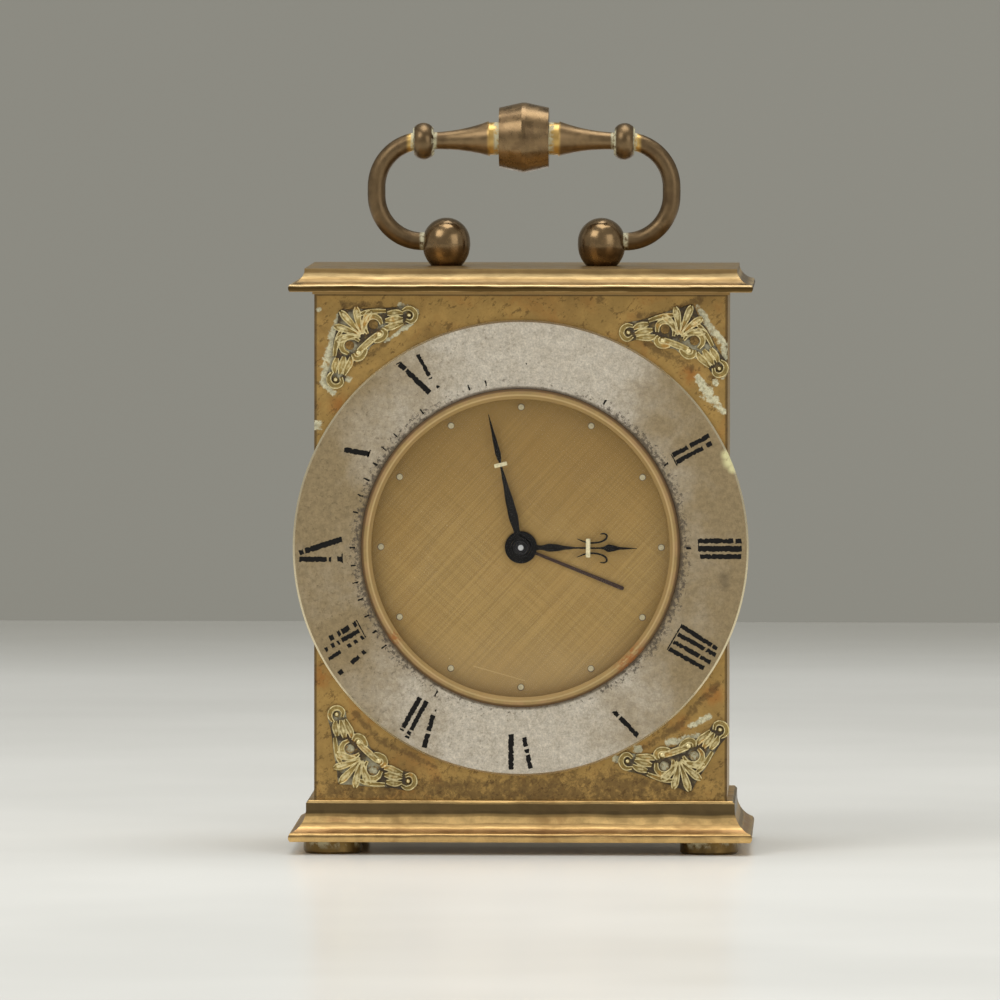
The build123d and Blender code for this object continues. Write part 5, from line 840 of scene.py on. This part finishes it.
class CLOCK_OT_numerals(ClockOperator):
    """Worn black numerals and minute ticks, painted on the chapter ring"""

    bl_idname = "clock.numerals"
    bl_label = "Paint the numerals"

    def execute(self, context):
        chance = random.Random(PAINT_SEED)
        patches = []
        for hour, strokes in NUMERALS.items():
            angle = hour * HOUR_ANGLE
            for start, end, width, gaps in strokes:
                bounds = [0.0, *(share for gap in gaps for share in gap), 1.0]
                for low, high in zip(bounds[::2], bounds[1::2]):
                    patches.append(self.stroke(angle, start, end, width * PAINT_SPREAD, low, high, chance))
        inner, outer = MINUTE_TICK
        for minute in MINUTE_TICKS:
            width = TICK_WIDTH if minute % 5 else HOUR_TICK_WIDTH
            shift = chance.uniform(-TICK_SLIP, TICK_SLIP)
            left = chance.uniform(*TICK_LEFT)
            angle = minute * MINUTE_ANGLE
            patches.append(self.stroke(angle, (shift, inner), (shift, outer), width, 0, left, chance))
        paint = join(patches, "numerals")
        bpy.ops.object.mode_set(mode="EDIT")
        bpy.ops.mesh.select_all(action="SELECT")
        bpy.ops.mesh.extrude_region_move(TRANSFORM_OT_translate={"value": (0, -self.sizes.paint_thickness, 0)})
        bpy.ops.mesh.select_all(action="SELECT")
        bpy.ops.mesh.normals_make_consistent(inside=False)
        bpy.ops.object.mode_set(mode="OBJECT")
        dress(paint, self.finish(), "case", "hand_black")
        return {"FINISHED"}

    def stroke(self, angle, start, end, width, low, high, chance):
        """One patch of paint with ragged edges, lying on the ring."""
        cuts = max(2, round(math.dist(start, end) * (high - low) / PAINT_STEP))
        pick_only()
        bpy.ops.mesh.primitive_grid_add(x_subdivisions=cuts, y_subdivisions=1, size=2)
        patch = bpy.context.object
        start, end = Vector(start), Vector(end)
        along = (end - start).normalized()
        side = Vector((along.y, -along.x))
        wander = self.sizes.paint_raggedness / MM * min(1.0, width / PAINT_FULL_WIDTH)
        for vertex in patch.data.vertices:
            share = low + (high - low) * (vertex.co.x + 1) / 2
            at = start.lerp(end, share) + side * vertex.co.y * (width / 2 - abs(chance.gauss(0, wander)))
            if abs(vertex.co.x) > 0.99:
                at += along * chance.uniform(*PAINT_ENDS) * math.copysign(1, vertex.co.x)
            x = at.x * math.cos(angle) + at.y * math.sin(angle)
            z = at.y * math.cos(angle) - at.x * math.sin(angle)
            vertex.co = Vector((DIAL_X + x, RING_LOW.y, DIAL_Z + z)) * MM
        return patch

    def finish(self):
        """Flaking black paint."""
        tones = self.colours.paint, shade(78, 70, 58)
        limits, rough, relief = (0.6, 0.72, 0.0, 0.35), (0.45, 0.7), (0.02, 0.4)
        return coating("numeral_paint", tones, 0.4, limits, rough, relief, 0.15, detail=5, roughness=0.7).done()


# Corner castings. One half is drawn along one leg and mirrored to the other; the foot of the fan is at FAN_FOOT.
# Straps are points (along, across) from the casting's own corner with a half width at each, in millimetres.
FAN_FOOT = 5.712
CASTING_STRAPS = (
    # large scroll round its cup, from the foot of the fan to the leaf
    (((6.45, 5.3), (5.95, 4.35), (6.05, 3.3), (6.9, 2.6), (7.95, 2.8), (8.5, 3.7)),
    (0.14, 0.28, 0.34, 0.36, 0.32, 0.2)),
    # small scroll that curls out of the crossbar
    (((7.5, 6.35), (8.3, 6.1), (9.05, 5.5), (9.05, 4.7), (8.45, 4.35)), (0.2, 0.32, 0.34, 0.32, 0.2)),
    # long leaf along the straight outer edge
    (((4.6, 2.7), (5.8, 2.05), (7.4, 1.72), (9.0, 1.6)), (0.12, 0.26, 0.28, 0.2)),
    # lobes of the leaf
    (((8.95, 4.2), (9.8, 4.05), (10.8, 3.6), (11.8, 3.25)), (0.2, 0.4, 0.38, 0.14)),
    (((8.95, 3.1), (9.8, 2.95), (10.8, 2.72), (11.7, 2.6)), (0.2, 0.42, 0.38, 0.14)),
    (((9.2, 2.0), (10.0, 1.85), (10.8, 1.7), (11.6, 1.8)), (0.2, 0.4, 0.36, 0.14)),
    # end curl
    (((11.5, 1.4), (12.3, 0.95), (13.25, 1.3), (13.55, 2.15), (13.0, 2.95), (12.1, 2.8)),
    (0.16, 0.28, 0.32, 0.32, 0.28, 0.18)),
)
# Round bosses inside the curls: centre and radius
CASTING_BOSSES = (((8.2, 5.2), 0.5), ((12.55, 2.0), 0.42))
# Half of the ground's outline, from the fan's tip along the outer edge and the end curl to the inner diagonal
CASTING_GROUND = (
    (1.95, 1.95), (3.6, 1.75), (5.2, 1.55), (7.0, 1.3), (8.9, 1.15), (10.5, 0.95), (12.2, 0.6), (13.5, 1.1),
    (13.9, 2.2), (13.2, 3.25),
    (12.0, 3.5), (11.0, 3.95), (9.8, 4.6), (9.4, 5.6), (8.4, 6.45), (7.1, 7.1),
)
# Each casting's side, end and turn in degrees, and how far its fan's foot lies inside the panel's edges
CASTING_CORNERS = {
    "top_left": (-1, 1, 266.4), "top_right": (1, 1, 203.5), "bottom_left": (-1, -1, 2.0), "bottom_right": (1, -1, 64.0)
}
CASTING_SIDE_INSET = 7.4
CASTING_END_INSET = 6.4
# The cups of the large scrolls are pierced
CASTING_HOLES = ((7.2, 3.8), (3.8, 7.2))
CASTING_HOLE_RADIUS = 0.72
CASTING_GROUND_THICKNESS = 0.36
# How far the parts reach into the panel before they are fused
CASTING_SINK = 0.06
# Heights of a strap's middle and raised edges above the panel, the radius of the edges and their place as a share of
# the half width
STRAP_HEIGHT, STRAP_EDGE_HEIGHT, STRAP_EDGE_RADIUS, STRAP_EDGE_PLACE = 0.27, 0.58, 0.11, 1.05
# The fan's direction and the angle between its petals in degrees, the longest petal, how much shorter the next ones
# are, how they curl in radians, and a petal's half widths by share of its length
FAN_DIRECTION, PETAL_ANGLE = 225, 21
PETAL_LENGTH, PETAL_SHORTER, PETAL_CURL = 5.2, 0.55, 0.14
PETAL_WIDTHS = {0.08: 0.08, 0.35: 0.24, 0.65: 0.44, 0.88: 0.42, 1.0: 0.14}
# The crossbar's distance from the fan's foot and half length along each leg, and its half widths by share of that
CROSSBAR_PLACE, CROSSBAR_REACH = 0.9, 1.4
CROSSBAR_WIDTHS = {-1.0: 0.3, -0.4: 0.4, 0.4: 0.4, 1.0: 0.3}
# A boss's height above the panel and how much it is drawn out
BOSS_HEIGHT, BOSS_STRETCH = 0.25, 1.2


class CLOCK_OT_ornaments(ClockOperator):
    """Cast scroll ornaments with a fan, volutes and leaves in the four corners"""

    bl_idname = "clock.ornaments"
    bl_label = "Cast the corner ornaments"

    def execute(self, context):
        casting = self.model()
        across = PANEL_HIGH.x - CASTING_SIDE_INSET
        up = (PANEL_HIGH.z - PANEL_LOW.z) / 2 - CASTING_END_INSET
        for corner, (side, end, turn) in CASTING_CORNERS.items():
            piece = casting.copy()
            piece.data = casting.data.copy()
            piece.name = f"ornament_{corner}"
            bpy.context.collection.objects.link(piece)
            move(
                piece,
                Matrix.Translation((-FAN_FOOT, 0, -FAN_FOOT)),
                Matrix.Rotation(-math.radians(turn), 4, "Y"),
                Matrix.Translation((DIAL_X + side * across, PANEL_LOW.y, DIAL_Z + end * up)),
            )
            self.clear_ring(piece)
            move(piece, Matrix.Scale(MM, 4))
            dress(piece, self.finish(piece.name), "case", "ornament", "corner_ornaments")
        bpy.data.objects.remove(casting)
        return {"FINISHED"}

    def model(self):
        """One casting in millimetres, lying in the dial's plane with its back at zero depth."""
        parts = self.fan() + self.crossbar()
        for points, widths in CASTING_STRAPS:
            parts += self.strap(points, widths)
            parts += self.strap([(across, along) for along, across in points], widths)
        for (along, across), radius in CASTING_BOSSES:
            parts += [self.boss(along, across, radius), self.boss(across, along, radius)]
        ground = [*CASTING_GROUND, *((across, along) for along, across in CASTING_GROUND[-2:0:-1])]
        holes = [circle(x, z, CASTING_HOLE_RADIUS, 20) for x, z in CASTING_HOLES]
        parts.append(plate([smooth_outline(ground, 4), *holes], CASTING_GROUND_THICKNESS, "ground"))
        casting = join(parts, "casting")
        for vertex in casting.data.vertices:
            vertex.co.y = min(vertex.co.y, CASTING_SINK)
        remesh = casting.modifiers.new("grain", "REMESH")
        remesh.mode = "VOXEL"
        remesh.voxel_size = self.sizes.casting_voxel / MM
        soften = casting.modifiers.new("soften", "SMOOTH")
        soften.factor = 0.5
        soften.iterations = 1
        apply_modifiers(casting)
        for vertex in casting.data.vertices:
            vertex.co.y = min(vertex.co.y, 0.0)
        bpy.ops.object.shade_smooth()
        return casting

    def boss(self, x, z, radius):
        """A round boss, a little higher than a ball."""
        pick_only()
        bpy.ops.mesh.primitive_uv_sphere_add(segments=16, ring_count=10, radius=radius)
        ball = bpy.context.object
        move(ball, Matrix.Diagonal((1, BOSS_STRETCH, 1, 1)), Matrix.Translation((x, -BOSS_HEIGHT, z)))
        return ball

    def strap(self, points, widths):
        """A band of metal with a thin raised edge along both sides."""
        path = [Vector(point) for point in points]
        parts = []
        for side, height in ((-1, STRAP_EDGE_HEIGHT), (0, STRAP_HEIGHT), (1, STRAP_EDGE_HEIGHT)):
            places = []
            for place, run, width in zip(path, runs_of(path), widths):
                at = place + Vector((-run.y, run.x)) * width * STRAP_EDGE_PLACE * side
                places.append((at.x, -height, at.y))
            parts.append(tube(places, [STRAP_EDGE_RADIUS] * len(widths) if side else widths))
        return parts

    def fan(self):
        """Five petals that spread from the foot towards the corner."""
        parts = []
        for petal in range(-2, 3):
            way = math.radians(FAN_DIRECTION + petal * PETAL_ANGLE)
            reach = PETAL_LENGTH - PETAL_SHORTER * abs(petal)
            points = []
            for share in PETAL_WIDTHS:
                angle = way + petal * PETAL_CURL * share
                points.append((FAN_FOOT + reach * share * math.cos(angle), FAN_FOOT + reach * share * math.sin(angle)))
            parts += self.strap(points, tuple(PETAL_WIDTHS.values()))
        return parts

    def crossbar(self):
        """The bar between the small scrolls."""
        middle = FAN_FOOT + CROSSBAR_PLACE
        points = [(middle + CROSSBAR_REACH * share, middle - CROSSBAR_REACH * share) for share in CROSSBAR_WIDTHS]
        return self.strap(points, tuple(CROSSBAR_WIDTHS.values()))

    def clear_ring(self, piece):
        """Presses the casting's edge back where it would reach the chapter ring."""
        limit = RING_RADIUS + self.sizes.casting_clearance / MM
        for vertex in piece.data.vertices:
            x, z = vertex.co.x - DIAL_X, vertex.co.z - DIAL_Z
            distance = math.hypot(x, z)
            if distance < limit:
                vertex.co.x = DIAL_X + x * limit / distance
                vertex.co.z = DIAL_Z + z * limit / distance

    def finish(self, name):
        """Olive gold: dark dirt in the hollows, pale gold on the ridges, some dried polish."""
        olive = self.colours.casting_gold
        gold = Finish(f"{name}_gold")
        broad = gold.noise(3.2)
        ragged = gold.noise(0.6, detail=5, roughness=0.65)
        wander = gold.times(gold.calc("SUBTRACT", ragged, 0.5), 0.3)
        lifted = gold.calc("ADD", gold.calc("SUBTRACT", PANEL_LOW.y, gold.y), wander)
        gold.colour = gold.blend(gold.band(broad, 0.4, 0.65), tint(olive, 0.7), tint(olive, 1.04))
        gold.lay(gold.patches(2.0, 0.56, 0.68, 0.0, 0.45, detail=3), shade(200, 146, 66))
        hollow = gold.band(lifted, 0.48, 0.35)
        gold.lay(hollow, shade(50, 37, 18), 0.95)
        ridge = gold.band(lifted, 0.56, 0.74)
        gold.lay(ridge, shade(226, 212, 162), 0.85)
        gold.relief(ragged, 0.05, 0.35)
        gold.roughness = gold.between(ridge, 0.5, 0.34)
        gold.metallic = gold.between(hollow, 0.75, 0.2)
        dust = gold.times(gold.band(broad, 0.5, 0.62), gold.band(lifted, 0.5, 0.25))
        gold.deposit(dust, tint(self.colours.residue, 0.9), 0.7)
        return gold.done()


# Half outlines of the hands: half width and distance from the middle, in millimetres
MINUTE_BLADE = (
    (0.36, 1.45), (0.46, 2.4), (0.72, 4.9), (0.62, 7.0), (0.34, 10.4), (0.19, 12.3), (0.17, 13.3), (0.34, 14.1),
    (0.42, 14.8),
    (0.34, 16.4), (0.19, 18.6), (0.05, 20.9),
)
HOUR_BLADE = (
    (0.4, 2.4), (0.34, 3.0), (0.62, 4.4), (0.55, 5.3), (0.26, 7.0), (0.13, 8.4), (0.12, 12.0), (0.2, 12.5),
    (0.58, 13.35),
    (0.5, 13.9), (0.2, 15.2), (0.04, 17.7),
)
# Middle line of the branch beside the hour hand's stem, which curls out at its end: distance aside, distance from the
# middle and half width
HOUR_BRANCH = (
    (1.4, 8.6, 0.04), (1.1, 9.3, 0.1), (0.82, 10.2, 0.13), (0.8, 11.2, 0.13), (0.98, 12.2, 0.14),
    (1.4, 12.95, 0.15), (1.95, 13.1, 0.15),
    (2.22, 12.65, 0.12), (2.15, 12.1, 0.05),
)
ALARM_BLADE = ((0.22, 2.4), (0.26, 9.0), (0.3, 16.6), (0.22, 16.9))
# The tie between the branches, and the thickness of branches and tie as shares of the hand's
HOUR_TIE = ((-0.95, 10.1), (0.95, 10.1), (0.95, 10.45), (-0.95, 10.45))
BRANCH_SHARE, TIE_SHARE = 0.94, 0.9
# Widths of the rounded edges of hands and bars
HAND_EDGE, BAR_EDGE = 0.03, 0.1
# Each hand's turn in degrees, body, half outline, and the radii of its hub and bore
HANDS = {
    "minute_hand": (346.3, "minute_arbor", MINUTE_BLADE, 1.5, 1.13),
    "hour_hand": (90.4, "hour_pipe", HOUR_BLADE, 2.45, 1.53),
    "alarm_hand": (111.9, "alarm_pipe", ALARM_BLADE, 2.45, 1.98),
}
# The pale bars: name, width, height and distance from the middle
LUME_BARS = {"minute_hand": ("minute_lume", 2.0, 0.6, 13.0), "hour_hand": ("hour_lume", 2.87, 0.68, 10.25)}


class CLOCK_OT_hands(ClockOperator):
    """Black hands: pointed minute blade, fleur hour hand and plain alarm stick, with pale bars"""

    bl_idname = "clock.hands"
    bl_label = "Make the hands"

    def execute(self, context):
        black = self.black("hand_black", shade(20, 18, 17))
        brown = self.black("alarm_brown", shade(62, 48, 42))
        tones = tint(self.colours.lume, 0.82), tint(self.colours.lume, 1.1)
        pale = coating("bar_lume", tones, 0.4, (0.35, 0.65), (0.55, 0.75), (0.03, 0.4)).done()
        for node, (degrees, body, half, hub, bore) in HANDS.items():
            low, high = in_mm(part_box(node))
            thickness = high.y - low.y
            parts = [self.blade(half, hub, bore, thickness)]
            if node == "hour_hand":
                parts += self.branches(thickness)
            hand = join(parts, f"{node}_blade")
            self.seat(hand, degrees, high.y)
            bevel(hand, HAND_EDGE * MM, 2, 35)
            dress(hand, brown if node == "alarm_hand" else black, body, "hand_black", node)
            if node in LUME_BARS:
                bar = self.bar(*LUME_BARS[node])
                self.seat(bar, degrees, low.y)
                dress(bar, pale, body, "lume")
        self.hubs()
        return {"FINISHED"}

    def blade(self, half, hub, bore, thickness):
        """A blade with a hub and a bore, in millimetres, pointing up."""
        right = [half[0]]
        for (x0, z0), (x1, z1) in zip(half, half[1:]):
            for share in (0.25, 0.5, 0.75, 1.0):
                ease = share * share * (3 - 2 * share)
                right.append((x0 + (x1 - x0) * ease, z0 + (z1 - z0) * share))
        outline = right + [(-x, z) for x, z in reversed(right)]
        root = math.asin(half[0][0] / hub)
        steps = 40
        for step in range(steps + 1):
            angle = math.pi / 2 + root + (2 * math.pi - 2 * root) * step / steps
            outline.append((hub * math.cos(angle), hub * math.sin(angle)))
        return plate([outline, circle(0, 0, bore, 36)], thickness, "blade")

    def branches(self, thickness):
        """The two branches beside the hour hand's stem and the tie that holds them."""
        path = [Vector((aside, reach)) for aside, reach, width in HOUR_BRANCH]
        left, right = [], []
        for place, run, (aside, reach, width) in zip(path, runs_of(path), HOUR_BRANCH):
            left.append(tuple(place + Vector((-run.y, run.x)) * width))
            right.append(tuple(place - Vector((-run.y, run.x)) * width))
        branch = smooth_outline(left + right[::-1], 4)
        mirrored = [(-x, z) for x, z in reversed(branch)]
        parts = [plate([outline], thickness * BRANCH_SHARE, "branch") for outline in (branch, mirrored)]
        return parts + [plate([HOUR_TIE], thickness * TIE_SHARE, "tie")]

    def seat(self, piece, degrees, back):
        """Turns a piece drawn in millimetres clockwise, puts its back at a depth and scales it."""
        turn = Matrix.Rotation(math.radians(degrees), 4, "Y")
        move(piece, turn, Matrix.Translation((DIAL_X, back, DIAL_Z)), Matrix.Scale(MM, 4))

    def bar(self, name, width, height, reach):
        """A small pale bar across a hand, in millimetres, let into its front."""
        pick_only()
        bpy.ops.mesh.primitive_cube_add(size=1)
        bar = bpy.context.object
        bar.name = name
        thick = self.sizes.lume_thickness / MM
        move(bar, Matrix.Diagonal((width, 2 * thick, height, 1)), Matrix.Translation((0, 0, reach)))
        bevel(bar, BAR_EDGE, 3, 40)
        return bar

    def black(self, name, tone):
        """A rubbed dark coat."""
        tones = tone, tint(tone, 2.2)
        return coating(name, tones, 1.2, (0.5, 0.75, 0.0, 0.5), (0.38, 0.5), (0.02, 0.2), 0.12, roughness=0.6).done()

    def hubs(self):
        """Black bosses in the middle with a bright pin, and brass behind them."""
        tones = shade(24, 23, 24), shade(48, 46, 46)
        hub = coating("hub_black", tones, 0.6, (0.5, 0.75, 0.0, 0.5), (0.3, 0.42), (0.02, 0.2), 0.2, detail=3)
        radius, dial_front = hub.distance(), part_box("dial")[0].y / MM
        behind = hub.band(hub.y, dial_front, dial_front + 0.3)
        wheel = hub.most(behind, hub.band(radius, 2.5, 2.7))
        hub.lay(wheel, shade(186, 150, 84))
        pin = hub.band(radius, 0.46, 0.38)
        hub.lay(pin, shade(196, 196, 196))
        hub.metallic = hub.most(wheel, pin)
        hub.give("cannon_pinion", "hour_wheel", "alarm_wheel", "centre_wheel")


class CLOCK_OT_movement_finish(ClockOperator):
    """Brass plates and wheels, steel arbors and blued springs for the movement"""

    bl_idname = "clock.movement_finish"
    bl_label = "Finish the movement"

    def execute(self, context):
        stain = self.colours.brass_stain
        plates = aged_metal("plate_brass", shade(190, 154, 88), stain, rough=0.3, stain_grain=12, wear=0.4)
        plates.give("front_plate", "back_plate", "movement_ring", "balance_cock", "time_barrel", "alarm_barrel")
        wheels = aged_metal("wheel_brass", shade(204, 168, 96), stain, rough=0.26, stain_grain=5, wear=0.3)
        wheels.give(
            "minute_wheel", "intermediate_wheel", "third_wheel", "fourth_wheel", "escape_wheel", "balance_wheel",
            "alarm_star_wheel", "gong_post", "plate_pillars",
        )
        polished = {"rough": 0.24, "metallic": 1.0, "wear": 0.4}
        steel = aged_metal("arbor_steel", self.colours.steel, shade(92, 84, 74), stain_grain=4, **polished)
        steel.give(
            "hand_setting_arbor", "alarm_setting_arbor", "time_winding_arbor", "alarm_winding_arbor", "time_click",
            "alarm_click", "pallet_lever", "alarm_hammer", "regulator",
        )
        blue = aged_metal("spring_blue", shade(58, 68, 104), shade(38, 40, 58), stain_grain=3, **polished)
        blue.give("hairspring", "time_mainspring", "alarm_mainspring")
        return {"FINISHED"}


class CLOCK_OT_back_finish(ClockOperator):
    """Rubbed brass for the keys, knobs and stop button"""

    bl_idname = "clock.back_finish"
    bl_label = "Finish the keys and knobs"

    def execute(self, context):
        stain = self.colours.brass_stain
        keys = aged_metal("key_brass", shade(184, 148, 84), stain, rough=0.3, stain_grain=4, wear=0.7)
        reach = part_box("time_key")[1].y / MM
        keys.lay(keys.band(keys.y, reach - 3.5, reach - 0.5, 0.0, 0.6), shade(214, 182, 116))
        keys.give("time_key", "alarm_key", "hand_setting_knob", "alarm_setting_knob", "stop_button")
        return {"FINISHED"}


# The stage, in metres: where the lamps look, each lamp's place and size, and the place, half size and tilt in degrees
# of the two sheets
CLOCK_MIDDLE = (0, 0, 0.055)
LAMPS = {"key": ((-1.5, -1.7, 1.9), 1.5), "fill": ((1.8, -1.9, 0.9), 1.5), "top": ((0.1, 0.1, 1.9), 1.3)}
TABLE = ((0, -1.0, 0), (3.0, 1.65), 0)
BACKDROP = ((0, 3.2, 1.0), (6.0, 3.6), 90)
ROOM_LIGHT = (1.0, 0.985, 0.95, 1)
SENSOR_WIDTH = 36
SIGHT_LIMIT = 30


class CLOCK_OT_stage(ClockOperator):
    """Pale table, grey backdrop, soft lamps and the camera"""

    bl_idname = "clock.stage"
    bl_label = "Set the stage"

    def execute(self, context):
        stage = context.scene.clock_stage
        self.sheet("table", *TABLE, self.table_finish(stage.table))
        tones = tint(stage.backdrop, 0.97), stage.backdrop
        grey = coating("backdrop_grey", tones, 400, (0.3, 0.7), (0.9, 0.9), detail=2).done()
        self.sheet("backdrop", *BACKDROP, grey)
        world = context.scene.world or bpy.data.worlds.new("room")
        context.scene.world = world
        world.use_nodes = True
        even = world.node_tree.nodes["Background"]
        even.inputs["Color"].default_value = ROOM_LIGHT
        even.inputs["Strength"].default_value = stage.world_level
        for name, (place, size) in LAMPS.items():
            self.lamp(f"{name}_lamp", place, size, getattr(stage, f"{name}_power"))
        self.camera(context, stage)
        context.scene.view_settings.view_transform = "Standard"
        return {"FINISHED"}

    def sheet(self, name, place, half_size, tilt, material):
        """A flat sheet of the stage, tilted up by degrees."""
        pick_only()
        bpy.ops.mesh.primitive_grid_add(x_subdivisions=4, y_subdivisions=4, size=2)
        sheet = bpy.context.object
        sheet.name = name
        move(
            sheet, Matrix.Diagonal((*half_size, 1, 1)), Matrix.Rotation(math.radians(tilt), 4, "X"),
            Matrix.Translation(place),
        )
        sheet.data.materials.append(material)

    def table_finish(self, white):
        """A white with painted shade that darkens it towards the back of the table."""
        tones = tint(white, 0.985), white
        table = coating("table_white", tones, 160, (0.3, 0.7), (0.2, 0.26), specular=0.25, detail=3)
        # painted shade: the table darkens towards the back and into the grey of its far edge
        table.lay(table.band(table.y, -100, 600), tint(white, 0.62))
        table.lay(table.band(table.y, 420, 660, 0.0, 0.85), shade(147, 146, 138))
        return table.done()

    def lamp(self, name, place, size, power):
        """A square lamp that looks at the middle of the clock."""
        data = bpy.data.lights.new(name, "AREA")
        data.shape = "SQUARE"
        data.size = size
        data.energy = power
        lamp = bpy.data.objects.new(name, data)
        lamp.location = place
        aim = Vector(CLOCK_MIDDLE) - Vector(place)
        lamp.rotation_euler = aim.to_track_quat("-Z", "Y").to_euler()
        bpy.context.scene.collection.objects.link(lamp)

    def camera(self, context, stage):
        """The camera at its place, turned to the left, down and clockwise."""
        left, down, clockwise = stage.camera_turn
        ahead = Vector((-math.sin(left) * math.cos(down), math.cos(left) * math.cos(down), -math.sin(down)))
        level = Vector((math.cos(left), math.sin(left), 0))
        above = level.cross(ahead)
        right = level * math.cos(clockwise) + above * math.sin(clockwise)
        up = above * math.cos(clockwise) - level * math.sin(clockwise)
        data = bpy.data.cameras.new("camera")
        data.lens = stage.lens
        data.sensor_width = SENSOR_WIDTH
        data.clip_end = SIGHT_LIMIT
        camera = bpy.data.objects.new("camera", data)
        turn = Matrix((right, up, -ahead)).transposed().to_4x4()
        camera.matrix_world = Matrix.Translation(stage.camera_place) @ turn
        context.scene.collection.objects.link(camera)
        context.scene.camera = camera


STEPS = (
    CLOCK_OT_case_finish,
    CLOCK_OT_handle_finish,
    CLOCK_OT_dial_finish,
    CLOCK_OT_numerals,
    CLOCK_OT_ornaments,
    CLOCK_OT_movement_finish,
    CLOCK_OT_hands,
    CLOCK_OT_back_finish,
    CLOCK_OT_stage,
)


class CLOCK_PT_panel(bpy.types.Panel):
    """The clock's steps in the sidebar"""

    bl_idname = "CLOCK_PT_panel"
    bl_label = "Desk clock"
    bl_space_type = "VIEW_3D"
    bl_region_type = "UI"
    bl_category = "Clock"

    def draw(self, context):
        for step in STEPS:
            self.layout.operator(step.bl_idname)


SETTINGS = {"clock_sizes": ClockSizes, "clock_colours": ClockColours, "clock_stage": ClockStage}


def register():
    for name, group in SETTINGS.items():
        bpy.utils.register_class(group)
        setattr(bpy.types.Scene, name, bpy.props.PointerProperty(type=group))
    for step in STEPS:
        bpy.utils.register_class(step)
    bpy.utils.register_class(CLOCK_PT_panel)


def unregister():
    bpy.utils.unregister_class(CLOCK_PT_panel)
    for step in reversed(STEPS):
        bpy.utils.unregister_class(step)
    for name, group in SETTINGS.items():
        delattr(bpy.types.Scene, name)
        bpy.utils.unregister_class(group)


def main():
    register()
    bpy.ops.clock.case_finish()
    bpy.ops.clock.handle_finish()
    bpy.ops.clock.dial_finish()
    bpy.ops.clock.numerals()
    bpy.ops.clock.ornaments()
    bpy.ops.clock.movement_finish()
    bpy.ops.clock.hands()
    bpy.ops.clock.back_finish()
    bpy.ops.clock.stage()


if __name__ == "__main__":
    main()
